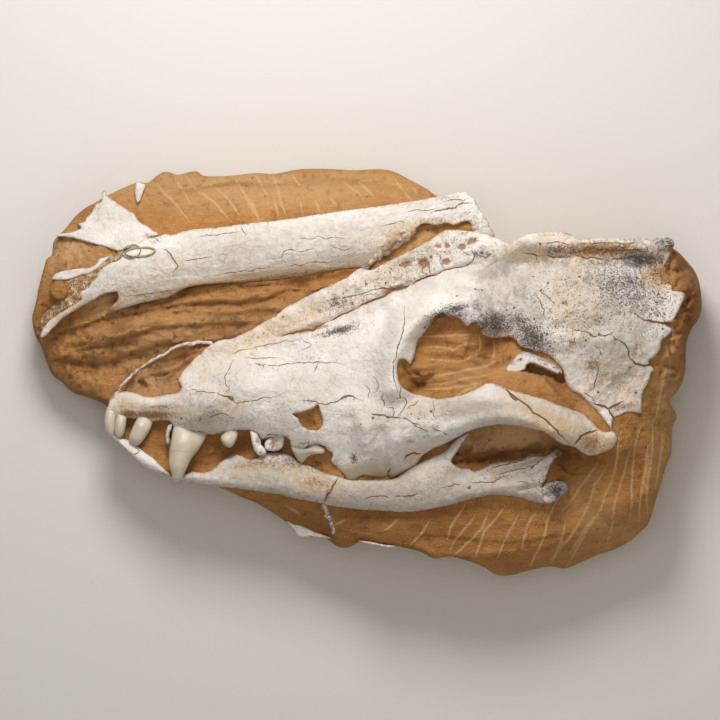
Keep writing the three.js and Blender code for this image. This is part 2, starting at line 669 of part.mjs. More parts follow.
function addRock() {
  const underside = (x, y) => BLOCK.undercut * roundOff(depthInside(blockLoop, x, y), BLOCK.undercut);
  const block = layer(blockLoop, ground, rockTop, ROCK_CELL)
    .intersect(layer(blockLoop, underside, sky, BELLY_CELL))
    .intersect(prism(blockLoop, 0, SKY));
  addNode("sandstone_block", mainBody(withoutRooms(block)), COLOUR.rock, 0.95);
}

addCranium();
addTeeth();
addMandible();
addLimbBone();
addFragments();
addRock();

export default fossil;
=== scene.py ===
"""A dire wolf's skull and lower jaw, with a length of limb bone, half freed from a block of sandstone.

Metres, +Z up, in the part's own frame. The shapes are described in millimetres of that frame: +X runs
from the muzzle to the back of the head and +Y from the jaw to the roof of the skull.
"""

import math

import bpy
import numpy as np
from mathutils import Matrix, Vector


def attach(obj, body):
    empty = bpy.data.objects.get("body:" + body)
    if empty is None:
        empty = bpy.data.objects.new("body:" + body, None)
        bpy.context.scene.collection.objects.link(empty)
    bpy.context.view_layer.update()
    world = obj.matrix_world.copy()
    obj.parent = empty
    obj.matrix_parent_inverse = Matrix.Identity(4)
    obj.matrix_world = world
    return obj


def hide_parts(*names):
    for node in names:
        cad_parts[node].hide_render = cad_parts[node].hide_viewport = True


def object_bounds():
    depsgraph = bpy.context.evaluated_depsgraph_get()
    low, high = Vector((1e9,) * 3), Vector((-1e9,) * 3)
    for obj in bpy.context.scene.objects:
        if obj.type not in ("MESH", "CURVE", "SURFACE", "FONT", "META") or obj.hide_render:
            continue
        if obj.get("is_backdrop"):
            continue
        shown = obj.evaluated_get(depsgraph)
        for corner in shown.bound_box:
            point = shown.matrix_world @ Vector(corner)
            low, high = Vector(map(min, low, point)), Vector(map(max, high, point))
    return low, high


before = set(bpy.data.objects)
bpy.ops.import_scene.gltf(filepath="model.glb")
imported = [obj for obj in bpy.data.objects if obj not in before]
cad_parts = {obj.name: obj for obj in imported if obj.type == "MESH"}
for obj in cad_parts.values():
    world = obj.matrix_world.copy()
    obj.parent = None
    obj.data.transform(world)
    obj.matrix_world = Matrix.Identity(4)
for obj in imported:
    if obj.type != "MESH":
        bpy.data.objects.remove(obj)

cad_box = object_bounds()
bpy.ops.object.select_all(action="DESELECT")

MM = 0.001


# ------------------------------------------------------------------ outlines, [x, y] in mm

BLOCK_EDGE = [
    (-131, -17), (-140, -13), (-148, -10.5), (-154, -5), (-158, -2), (-161.5, 5), (-162.5, 8), (-164, 13),
    (-167, 19), (-168.3, 26), (-167.5, 31), (-166, 36), (-165, 42), (-163, 50), (-161, 57), (-158.5, 59),
    (-157.5, 66), (-152, 72), (-146, 79), (-141, 83), (-137, 85), (-132, 88), (-124, 92), (-115.5, 95.5),
    (-110, 95.5), (-104, 100), (-100, 101), (-95, 99.5), (-86, 101.3), (-81, 98.8), (-68, 99), (-56, 100.3),
    (-46, 100), (-33, 102.3), (-18, 102.3), (-6, 101.7), (6, 102.3), (14, 101), (22, 96.8), (30, 92.5),
    (36, 88.4), (48, 84), (57, 73), (62, 66), (80, 63), (110, 63), (140, 63), (153, 62), (160, 57), (166, 50),
    (168.2, 40), (168.3, 29), (163, 21), (160.5, 14), (160, 0), (156.5, -9), (152, -14.5), (156, -22),
    (154, -28), (153.5, -40), (150.5, -48), (147.5, -58), (144.5, -68), (142, -76.5), (138.5, -80),
    (134, -84.5), (126, -89), (116, -92.5), (106, -97), (100, -99), (92, -98), (80, -100.5), (74, -102.2),
    (66, -102.2), (60, -98.5), (52, -95), (42, -92.5), (34, -93.5), (27, -90), (14, -87), (7, -86.5), (-2, -85),
    (-8, -88), (-14, -88), (-22, -83), (-32, -82.5), (-41, -75), (-53, -67), (-62, -63), (-75, -57.5),
    (-92, -53.5), (-103, -49.5), (-110, -45.5), (-116, -40.5), (-122, -35.5), (-126.5, -31), (-129.5, -24),
]

CRANIUM_EDGE = [
    # the roof, from the tip of the nasals to the nape
    (-79.5, 12.5), (-73, 16), (-68, 16.5), (-63, 18.5), (-58, 21), (-53, 24), (-45.5, 28), (-40.5, 32),
    (-33, 36), (-23, 41.5), (-13, 45.5), (-8, 48.5), (-3, 52), (3, 51), (9.5, 54.5), (17, 58), (24.5, 62),
    (32, 66), (37, 69.5), (40.5, 71), (47, 71), (57, 69.5), (67, 66), (72, 64), (74.5, 66), (79.5, 68.5),
    (87, 69.5), (93, 70), (99.5, 69.5), (103, 68), (107, 66), (117, 67), (132, 66.5), (139.5, 67), (142, 65.5),
    (146, 66.5), (149.5, 66), (153.5, 62.5),
    # the nape, down to the mastoid
    (151.5, 57.5), (149.5, 53), (147, 49.5), (148.5, 45.5), (152.5, 43.5), (153, 40.5), (158.5, 40.5),
    (159, 37.5), (157, 33.5), (155, 29.5), (152.5, 25.5), (149.5, 24.5), (148, 24), (152, 21.5), (150.5, 18.5),
    (147, 15.5), (146.5, 12), (143.5, 7.5), (140.5, 5.5), (143.5, 1), (142, -0.5), (141, -4), (139.5, -7),
    (138, -10), (137.5, -16.5), (137, -20.5), (132, -20), (127, -21.5), (123, -23.5), (122.5, -28.5),
    # the tip of the glenoid and the underside of the arch
    (124.5, -31), (125, -34), (123, -37.5), (117, -40.5), (111, -41.5), (106, -39), (103, -37), (98.5, -36),
    (94.5, -34), (89.5, -30.5), (82, -28), (74.5, -26.5), (67, -26), (62, -26.5), (57, -27.5), (52, -29),
    (47, -31.5), (39.5, -35.5), (32, -39), (28.5, -41.5),
    # the cheek teeth and the margin of their sockets
    (26, -45), (24, -47.5), (17, -51.5), (13.5, -53), (12, -53), (10.5, -51), (9, -53.3), (4.5, -53), (1, -52),
    (-1, -51.5), (-3, -53), (-5, -55), (-8, -56), (-10, -54.5), (-11.5, -51.5), (-14.5, -47.5), (-17.5, -44.5),
    (-16.5, -41), (-19, -39), (-22, -36.5), (-27, -36.5), (-31, -38), (-35, -37.5), (-37.5, -37), (-38, -34.5),
    (-40, -32.5), (-44, -32.5), (-48, -32.5), (-50.5, -33.5), (-52.5, -34), (-55, -31.5), (-58, -29.5),
    (-62, -29), (-68, -30), (-73, -31), (-80, -31.5), (-88, -30), (-95, -28.5), (-97, -27.5), (-98.5, -24.5),
    (-103, -24.3), (-109, -24.8), (-115, -23.8),
    # the premaxilla with the roots of its front teeth
    (-121, -23.5), (-122.5, -28), (-122, -33), (-123.5, -34.5), (-126, -34), (-129.5, -32), (-131, -29.5),
    (-130.5, -22), (-129.5, -17), (-128, -12.5), (-125.5, -9.7), (-121, -9.7), (-116, -10.5), (-111.5, -12.2),
    (-106, -12.5), (-99, -11.2), (-94, -10.2), (-92.5, -7.5), (-94, -4), (-92, 0), (-89, 3.5), (-85.5, 7.5),
    (-83, 9),
]

ORBIT_AND_TEMPLE_EDGE = [
    (15.5, 1), (16, 5), (17.5, 6.5), (19.5, 6), (21, 4.5), (22, 4), (23.2, 6), (24.5, 10), (25.5, 15),
    (27.5, 17.8), (30, 21), (33, 24.5), (35.5, 26.5), (39.5, 27.5), (44, 27.5), (47.5, 25.5), (50, 22.5),
    (52, 24), (54.5, 24.8), (56, 21), (59.5, 18), (64.5, 17), (72, 17.5), (74.5, 16), (76.5, 13), (82, 11),
    (90, 9), (95, 4.5), (98, 1), (99, -4), (101.5, -8.5), (106, -11), (110, -15), (113.5, -18), (117, -22),
    (120.5, -26.5), (122, -29), (119.5, -30), (116, -28.5), (112, -24.5), (107, -20.5), (96, -16.5), (87, -13),
    (79.5, -11), (72, -9), (67, -7), (62, -5.5), (59, -6), (54.5, -8.5), (48.5, -11), (42, -12.5),
    (35.5, -13.2), (29.5, -12.2), (23, -10.5), (19, -8.2), (16.5, -4.8),
]

INFRAORBITAL_EDGE = [
    (-36.5, -21), (-33, -20.3), (-29, -19.3), (-26, -17.8), (-24, -16.5), (-23, -19.5), (-21.7, -23.5),
    (-22.3, -27.5), (-24.5, -29), (-27.5, -29), (-30.5, -27.8), (-32.5, -25.5), (-34, -23),
]

MANDIBLE_EDGE = [
    (-131, -30.5), (-128, -33), (-123, -37), (-118, -41.5), (-113, -46), (-108, -49), (-103, -51), (-98, -52.5),
    (-93, -54.5), (-88, -55.5), (-83, -56.5), (-74, -57.5), (-68, -58), (-60.5, -59), (-53, -60), (-43, -61.5),
    (-33, -64), (-23, -65.5), (-18, -67), (-10.5, -68), (-3, -69), (7, -69.5), (17, -70), (27, -69.5),
    (37, -67.5), (42, -66.5), (47, -65), (52, -63.5), (57, -62.5), (62, -61.5), (67, -61.5), (72, -62),
    (77, -63), (82, -64.5), (87, -65.5), (92, -65.5), (96.5, -63.5), (97, -60), (92, -60.5), (88.5, -58.5),
    (88, -56), (89.5, -53.5), (90.5, -50.5), (91.5, -48), (93.5, -44), (96.5, -42), (98.5, -40.5), (97, -38.5),
    (95, -38.5), (92.5, -40.5), (89.5, -42), (82, -42), (77, -44), (67, -45), (62, -46), (58.5, -48),
    (54.5, -49.5), (52, -48.5), (46, -47.5), (42.5, -45), (42.5, -44), (45, -40), (49, -34), (52, -30),
    (47, -31.5), (43, -35.5), (39.5, -39.5), (32, -43), (26, -46), (21, -49), (15, -53), (8, -54), (0, -54),
    (-8, -54), (-15, -52), (-22, -50), (-28, -47), (-33, -46), (-37, -42.5), (-43, -40.5), (-48.5, -40.5),
    (-52, -41), (-54, -43), (-58, -44), (-62, -42.5), (-65.5, -41.5), (-69, -42.5), (-72, -44.5),
    (-75.5, -47.5), (-79, -50), (-83, -50.5), (-87, -50), (-90, -51), (-96.5, -52), (-99, -50.5),
    (-102.5, -47.5), (-105.5, -44.5), (-109, -41.5), (-113, -39), (-116.5, -35.8), (-119, -34.5), (-123, -33),
    (-127, -30.5), (-130, -28.8),
]

LIMB_BONE_EDGE = [
    (-122.5, 57), (-121.5, 59.5), (-119, 61.5), (-114, 64.5), (-110, 66.5), (-104, 68), (-100, 69), (-97, 68.5),
    (-93, 70), (-85.5, 71.5), (-73, 72.5), (-58, 74.5), (-43, 76), (-33, 77.5), (-13, 80.5), (7, 83),
    (17, 84.5), (27, 86), (37, 88), (44.5, 89.5), (48.5, 90), (51, 89.5), (52.5, 88), (54, 86.5), (55.5, 83.5),
    (57.5, 80.5), (59.5, 77), (61, 75), (62, 72), (63.5, 70.5), (64, 67), (57, 67), (53, 71), (52, 74.5),
    (50, 75.5), (44.5, 73.5), (40, 74.5), (35, 73.5), (28, 74), (23.5, 69.5), (18, 65), (13.5, 61), (8.5, 57.5),
    (4.5, 54), (1.5, 51), (-3, 52), (-7, 52), (-13, 51.5), (-23, 50), (-33, 48), (-43, 46.5), (-53, 45.5),
    (-63, 45), (-73, 44.5), (-83, 43.5), (-90.5, 42), (-94, 40), (-98, 38), (-103, 36.5), (-108, 35.5),
    (-113, 34.5), (-118, 33), (-123, 31.5), (-128, 29.5), (-131, 28), (-129.5, 30.5), (-126.5, 33.5),
    (-124.5, 36), (-124, 38.5), (-124.5, 40), (-129, 39.5), (-133, 38), (-135.5, 36.5), (-139, 34.5),
    (-143, 32.5), (-148, 29.5), (-152, 27), (-155.5, 23.5), (-158, 21), (-161, 18), (-163.5, 17.5),
    (-162.5, 21), (-159.5, 25), (-155, 28.5), (-150, 31.5), (-145, 34.5), (-142.5, 36.5), (-143.5, 39),
    (-141.5, 41), (-139, 42), (-137.5, 44.5), (-134.5, 47.5), (-133.5, 50.5), (-131, 52.5), (-128, 54.5),
    (-124.5, 55.5),
]

SHARD_EDGE = [
    (-131.5, 91.5), (-130.5, 89), (-129, 87.5), (-126.5, 86), (-123, 83.5), (-120, 81.5), (-117, 80),
    (-115.5, 78), (-114, 75.5), (-112, 74.5), (-109.5, 73), (-107, 71), (-104, 69), (-108, 67), (-112.5, 64.5),
    (-117, 63), (-121, 61.5), (-124, 60.5), (-126, 61), (-130, 62.5), (-135.5, 64), (-141, 65.5), (-146.5, 67),
    (-152, 68), (-156, 68), (-154, 69.5), (-150, 70), (-146, 71), (-143.5, 72.5), (-145, 74.5), (-142, 75.5),
    (-140.5, 78), (-138, 80.5), (-137, 82.5), (-136, 84.5), (-134, 85), (-133, 86.5), (-133, 89.5),
]

CHIP_EDGE = [
    (-115.5, 95.5), (-113, 95), (-111, 94.5), (-111.5, 92), (-112.5, 89.5), (-113.5, 86.5), (-115, 85),
    (-116, 87.5), (-116.5, 91), (-116, 93.5),
]

SPLINTER_UPPER_EDGE = [
    (-158, 46.5), (-156.5, 49), (-153, 50.5), (-148, 51.5), (-143, 52), (-138.5, 52.5), (-135.5, 54),
    (-133.5, 57), (-130, 58), (-127, 59), (-130, 56), (-132.5, 53.5), (-135.5, 51), (-139, 49), (-143, 48.5),
    (-147, 47), (-150.5, 46), (-154.5, 46),
]

SPONGY_EDGE = [
    (-153, 44.5), (-149, 46), (-145, 47.5), (-141, 48.5), (-138, 50), (-135, 52.5), (-132, 55), (-129.5, 57),
    (-126.5, 59), (-123, 60.5), (-121, 59), (-123, 56.5), (-127, 54.5), (-130.5, 52), (-133, 49.5),
    (-134.5, 46.5), (-137, 43.5), (-140, 41), (-142, 40), (-142, 37), (-144, 34.5), (-148, 32), (-153, 29.5),
    (-157, 27), (-161, 23.5), (-163, 21), (-164, 25), (-162, 29), (-158, 33), (-154.5, 36), (-152, 40),
]

EDGE_SLIVER_LONG = [
    (-40.5, -74.5), (-38, -75), (-35, -75), (-32, -77), (-28.5, -79), (-24, -81), (-20, -82.5), (-17.5, -83.5),
    (-22, -83.5), (-27, -83), (-33, -83), (-36, -80), (-38.5, -77),
]

EDGE_SLIVER_RIGHT = [
    (-4, -84.5), (2, -85), (9.5, -86.5), (15, -87), (12, -88), (6, -87), (0, -86),
]

EAR_FRAGMENT_EDGE = [
    (69.8, 1.4), (70.8, 3.8), (73.6, 6.6), (76.5, 9.5), (79.4, 10.2), (83.3, 9.3), (87.1, 7.6), (91, 6.6),
    (93.9, 4.7), (96.8, 1.4), (97.3, -0.6), (94.9, -0.8), (92, 0.4), (88.1, 2.3), (84.3, 3.8), (81.9, 4.5),
    (80, 3.6), (79, 1.4), (75.6, -0.1), (72.7, -1.7), (70.3, -1),
]

PREMOLAR_3_EDGE = [
    (-37.5, -37.5), (-36, -41), (-34, -44.5), (-32.5, -46.5), (-31, -45), (-29.5, -43), (-27, -41.5),
    (-24, -41), (-21, -40.5), (-20.5, -38.5), (-22.5, -37), (-25.5, -36), (-27.5, -36.5), (-30, -38),
    (-32.5, -37), (-35, -37),
]

CARNASSIAL_EDGE = [
    (-17.5, -44.5), (-14.5, -47.5), (-11.5, -51.5), (-10, -54.5), (-8, -56), (-5.5, -55.5), (-3.5, -54),
    (-2, -52), (-0.5, -51.5), (2, -52.5), (5.5, -53.5), (9, -53.5), (10.5, -52.5), (11.5, -50), (11.5, -47),
    (8, -45), (2, -44), (-5, -43.5), (-11, -43), (-15, -43.5),
]

MOLAR_1_EDGE = [
    (11.5, -53), (13.5, -53), (16, -52), (19, -50), (22, -48), (24.5, -47), (25.5, -45), (23, -44), (19, -45),
    (15, -46), (13, -48),
]

MOLAR_2_EDGE = [
    (19, -44), (21, -42), (23.5, -41), (26, -41), (27.5, -42), (27, -44), (24, -45.5), (21, -45.5),
]

NASAL_RIM_LINE = [
    (-124, -9.5), (-122.5, -7), (-119, -3), (-115, 0.5), (-111, 3.5), (-107, 6), (-102.5, 8.5), (-98, 11),
    (-94, 13), (-89.5, 14), (-85, 14.5), (-81, 14.5), (-77, 15),
]

# Crumbled bone along the sand-filled pocket between the limb bone and the brow.
CRUMBLED_EDGE = [
    (0.5, 50), (3, 52), (4.5, 54.3), (7.2, 54.8), (8.6, 57.6), (11.6, 58.6), (13.2, 61), (16, 62), (18.8, 64.8),
    (21, 65.3), (22.6, 67.6), (25, 70), (23, 72), (19.6, 71.6), (17, 70.4), (15.4, 68), (12.5, 66.4),
    (11, 63.4), (7.4, 61.6), (6.4, 59.6), (3.4, 58.6), (1.6, 55.4), (-1.2, 54.4), (-3, 51.8),
]

PREMAXILLA_SPUR = [
    (-99.5, -27), (-97, -26), (-97.5, -29), (-98.5, -32), (-98, -35), (-99, -37), (-100.5, -35), (-100.5, -31),
]

ANGULAR_NODULE = [
    (89.5, -56), (93, -54.5), (97, -54.5), (100, -56), (101, -58.5), (99, -61), (96, -63), (93, -65),
    (89.5, -65.5), (87.5, -63), (87.5, -59),
]

PREMOLAR_2_ROOT_A = [
    (-58, -29.5), (-54.5, -30.5), (-53, -33), (-52.5, -36), (-50.5, -38.5), (-50, -41), (-52.5, -42),
    (-55, -41), (-56.5, -38), (-57.5, -34),
]

PREMOLAR_2_ROOT_B = [
    (-50.5, -35), (-48, -32.8), (-44, -32), (-41.2, -32.3), (-41, -35), (-42, -38), (-45, -39.5),
    (-48.5, -39.5), (-50.5, -38.5),
]


# ------------------------------------------------------------------ cracks, [x, y] in mm

HAIRLINES = {
    "nasal_side": [(-65.5, 6), (-67.5, 3), (-69.5, 0), (-70.5, -3.5), (-70, -6), (-68.5, -8), (-70.5, -10),
        (-72, -11.5)],
    "muzzle_long": [(-91, -9.5), (-87, -9), (-83, -9.5), (-79, -10), (-75, -10.5), (-72, -11.5), (-68.5, -12.5),
        (-66.5, -14), (-65, -15.5), (-62, -15), (-58, -14.5), (-54.5, -14), (-52, -13), (-48, -13), (-43, -12)],
    "muzzle_step": [(-72, -11.5), (-70, -12), (-67.5, -12), (-66, -14)],
    "face_long": [(-34, -14.5), (-30, -14.5), (-25.5, -14.5), (-23, -16), (-19, -16), (-16, -15), (-13, -14),
        (-10.5, -12.5), (-7, -12), (-4.5, -13.5), (-1.5, -14)],
    "cheek": [(3, -20.5), (6, -21.5), (9.5, -21.5), (13, -22.5), (17, -23), (20, -23.5), (22.5, -25.5),
        (25, -25.5), (29, -26.5)],
    "cheek_low": [(22.5, -25.5), (25.5, -27.5), (29, -29), (31, -29)],
    "cheek_branch": [(17, -6.5), (17, -10), (17, -12.5), (15, -13.5), (13, -15.5)],
    "cheek_knot": [(17, -12.5), (19.5, -13.5), (20.5, -15.5), (19, -18), (17, -20), (15.5, -22)],
    "cheek_up": [(9, -10), (7.5, -13), (9, -15), (8.5, -18)],
    "lacrimal": [(19, 33.5), (19, 27), (18.5, 22), (17.5, 17.5), (16, 13.5), (15, 9.5), (14, 6), (13.5, 2),
        (13.5, -2), (14.5, -6), (16, -10)],
    "lacrimal_branch": [(15, 9.5), (16.5, 14), (18.5, 18.5)],
    "dorsal_a": [(-58, 11.5), (-54, 12.5), (-50, 13.5), (-45.5, 14), (-41.5, 15.5), (-37, 15.5), (-33, 16)],
    "dorsal_b": [(-67, 9.5), (-63, 10.5), (-58, 11.5)],
    "dorsal_c": [(-60.5, 7.5), (-55, 7), (-49.5, 7), (-44, 7), (-41.5, 6)],
    "dorsal_d": [(-55.5, 4.5), (-51, 3), (-52, 1)],
    "nasal_a": [(-32, 15.5), (-27.5, 13.5), (-32, 11)],
    "nasal_b": [(-23, 5), (-25, 2.5), (-26.5, -0.5)],
    "mid_fork": [(52, 61), (54, 58), (53, 55), (50, 53.5), (52, 52)],
    "mid_fork_b": [(48.5, 60), (51, 58.5), (53.5, 58)],
    "knee": [(37, 58.5), (37.5, 55), (38.5, 52)],
    "knee_b": [(31, 55), (31.5, 51), (32.5, 48)],
    "roof_a": [(-33, 37.5), (-27, 40), (-22, 41.5), (-16, 44), (-10.5, 46.5)],
    "roof_b": [(-13, 36), (-8, 38), (-2, 39), (3, 41), (7, 42)],
    "crest": [(102, 61), (104, 59), (106, 57.5), (109, 57), (113, 57), (117, 56.5), (121, 56), (125, 56.5),
        (129, 56.5), (134, 57.5), (138, 57.5)],
    "face_faint": [(-55, 4.5), (-45, 3), (-36, 4.5), (-24, 5), (-10, 4)],
    "cheek_net_a": [(4, -2), (6, -6), (5, -10)],
    "cheek_net_b": [(-2, -6), (2, -9), (1, -13)],
    "cheek_net_c": [(20, -18), (24, -16), (27, -13)],
    "cheek_net_d": [(10, -17), (14, -19), (13, -23)],
    "arch_net": [(33, -14), (34, -18), (33, -21), (35, -24)],
    "behind_the_canine": [(-78, -22), (-72, -21), (-66, -23)],
    "crest_front": [(78, 59.5), (84, 58.3), (91, 57.8), (98, 57), (103, 57.5)],
    "crest_streak_a": [(105, 65.3), (112, 64), (120, 64.6), (129, 63.8), (138, 65)],
    "crest_streak_b": [(110, 61.7), (118, 61), (126, 60.2), (134, 60.8), (141, 59.5)],
    "crest_streak_c": [(88, 64), (95, 64.6), (101, 63.5)],
    "crest_rear": [(138, 57.5), (143, 56), (148, 55)],
    "brow_a": [(28.5, 52), (28, 50), (30, 48.5), (30.5, 47)],
    "brow_b": [(52.5, 61), (56, 58), (60, 57.5), (64, 59.5)],
    "arch_side": [(33, -27), (36, -29), (41, -31.5)],
    "ramus_c": [(60, -49), (68, -46.5), (78, -44), (86, -41)],
    "ramus_d": [(62, -52), (72, -49.5), (82, -47), (90, -43)],
    "jaw_middle": [(-2, -63.5), (6, -62), (13, -62.5)],
    "parietal_a": [(84, 40), (85.5, 37), (87, 34), (88, 30.5), (88.5, 27)],
    "parietal_b": [(84, 41), (87.5, 39.5), (91, 37), (93, 34)],
    "parietal_c": [(101, 21.5), (105, 20.5), (109, 19.5), (113, 18), (117, 18), (120.5, 19), (122, 20)],
    "plate_mid": [(122, 18.5), (124, 16), (127, 15), (129, 12.5), (130.5, 10), (131.5, 7), (133.5, 5)],
    "plate_up": [(131, 31.5), (133, 29.5), (135.5, 27.5), (137.5, 26), (140, 25)],
    "parietal_d": [(113, 13.5), (115.5, 11), (117, 7.5)],
    "parietal_e": [(115, 6), (115.5, 2), (115, -2), (113.5, -6.5), (113, -10)],
    "squamosal_a": [(108.5, -10), (112, -13), (114, -16)],
    "jaw_long": [(14, -62.5), (18, -62), (22, -61.5), (26, -60.5)],
    "jaw_rear": [(52, -55.5), (57, -55), (62, -55), (65.5, -53.5), (68.5, -52), (72, -51.5)],
    "jaw_rear_b": [(37, -58), (42, -56.5), (47, -56)],
    "ramus_a": [(81, -49), (84, -47), (85.5, -45), (87.5, -43.5)],
    "ramus_b": [(75.5, -55), (79, -54.5), (82.5, -55.5)],
    "jaw_front": [(-117, -38), (-115, -38.5), (-113.5, -40), (-115, -41.5), (-117, -41)],
    "p2_line": [(-58, -29), (-55, -30.5), (-53, -32.5), (-52, -34), (-50, -32.5), (-48, -31.5), (-45, -32),
        (-41.5, -32), (-39, -32.5)],
    "p3_line": [(-33, -37), (-31, -38), (-29, -37.5), (-27, -36.5), (-24.5, -36), (-21.5, -37), (-19, -38),
        (-17, -39)],
    "canine_line": [(-95, -28.5), (-90.5, -29), (-85.5, -29.5), (-80, -30.5)],
    "limb_a": [(-47, 56.5), (-42.5, 57.5), (-40.5, 60), (-38, 61), (-33, 60), (-28, 61), (-25, 61),
        (-24.5, 58.5), (-23, 57.5)],
    "limb_b": [(-120.5, 37.5), (-117, 38), (-113, 38.5), (-108, 39.5), (-103, 40), (-98, 40.5), (-93, 40.5)],
    "limb_c": [(-33, 67), (-28, 66.5), (-24, 67.5), (-20, 66.5), (-16, 67), (-10.5, 66.5)],
    "limb_d": [(-18, 63), (-14, 62), (-10.5, 61), (-7, 61.5)],
    "limb_e": [(7, 73), (12, 73.5), (16, 75), (19.5, 74.5)],
    "limb_f": [(-83, 68), (-77, 68.5), (-70.5, 69), (-63, 70)],
    "limb_g": [(-63, 73), (-61.5, 70.5), (-60, 68)],
    "limb_h": [(-92, 55), (-88, 56), (-83, 56.5), (-77, 57.5)],
    "limb_i": [(32, 79), (37, 81), (43, 82), (48, 84), (53, 84.5)],
    "limb_j": [(19.5, 79.5), (24.5, 81), (29.5, 80.5), (35.5, 82)],
    "limb_k": [(37, 84.5), (43, 86), (48.5, 86), (52, 87.5)],
    "limb_l": [(-75.5, 48), (-65.5, 50), (-55.5, 51), (-48, 53)],
    "limb_m": [(-40.5, 53), (-33, 53.5), (-25.5, 55), (-16.5, 55)],
    "dotted": [(-103, 61.5), (-100.5, 61), (-98, 59), (-96.5, 57), (-95, 55), (-94.5, 52.5), (-95.5, 51),
        (-96.5, 49.5)],
}

# Cracks wider than a hairline by name, and fainter ones by the start of their names.
BROAD_CRACKS = (
    "crest", "crest_front", "crest_streak_b", "parietal_c", "plate_mid", "jaw_long", "limb_i", "dotted")
FAINT_CRACKS = ("limb", "dorsal", "face_faint", "nasal", "cheek_net", "arch_net")

# Seams packed with sand: width, line.
SEAMS = {
    "midline_a": (1.0, [(-42.5, 17.5), (-39, 19), (-35, 20), (-33, 20.5), (-30, 21), (-27, 21), (-24, 23),
        (-21, 24.5), (-19, 25.5)]),
    "midline_b": (0.5, [(-19, 25.5), (-13, 28), (-8, 30.5), (-4, 32)]),
    "midline_c": (0.8, [(-4, 32), (0, 34.5), (4, 36), (7, 37), (10, 38.5), (13, 40)]),
    "midline_d": (1.3, [(13, 40.5), (16, 41.5), (19, 42), (22, 43.5)]),
    "midline_e": (0.7, [(22, 43.5), (27, 46), (31, 47.5), (33.5, 48), (37, 49.5)]),
    "midline_f": (0.4, [(37, 49.5), (42, 51.5), (47, 52.5), (51, 53)]),
    "midline_g": (0.9, [(7, 42), (10, 42), (13, 41.5), (16, 41)]),
    "arch": (0.7, [(67, -8), (69.5, -9), (72, -11), (75, -13), (77.5, -15), (80, -17), (82.5, -19.5),
        (86, -21.5), (89.5, -24), (92.5, -27), (95.5, -30), (98, -33), (101, -35.5)]),
    "arch_b": (0.9, [(68, -8), (70.5, -10), (72.5, -12.5), (75, -14)]),
    "glenoid": (1.0, [(103, -36), (105, -34), (106.5, -32), (108.5, -31), (112, -30), (115.5, -29)]),
    "mastoid": (1.1, [(112, -15), (114, -16), (116.5, -16.5), (118.5, -17.5), (120.5, -18.5), (122.5, -17.5),
        (125, -16), (128, -14.5)]),
    "mastoid_b": (0.9, [(120.5, -18.5), (122, -21), (123.5, -23.5)]),
    "nape_a": (1.2, [(137.5, 26), (141, 25), (145, 24.5), (149, 24), (153, 25)]),
    "nape_b": (1.3, [(132, 6), (135, 4), (138, 3), (141, 4), (144, 6)]),
    "muzzle_brown": (0.4, [(-72, -11.5), (-68.5, -12.5), (-66.5, -14.5)]),
    "face_brown": (0.45, [(-13, -14), (-10.5, -12.5), (-8, -12), (-4.5, -13)]),
    "cheek_brown": (0.6, [(3, -21), (6, -21), (9, -21.5)]),
    "cheek_brown_b": (0.45, [(9, -22), (13, -22.5), (17, -23)]),
    "slit": (0.9, [(10, -53.5), (10.5, -50.5), (12, -48)]),
    "molar_gap": (0.8, [(19, -43.5), (21, -41.5), (23.5, -40.5), (27, -40.5)]),
    "molar_gap_b": (0.6, [(28.5, -41.5), (32, -40.5), (36, -39)]),
    "jaw_break_a": (0.8, [(-14, -53), (-16, -56), (-18, -60), (-20, -62.5), (-21, -66)]),
}


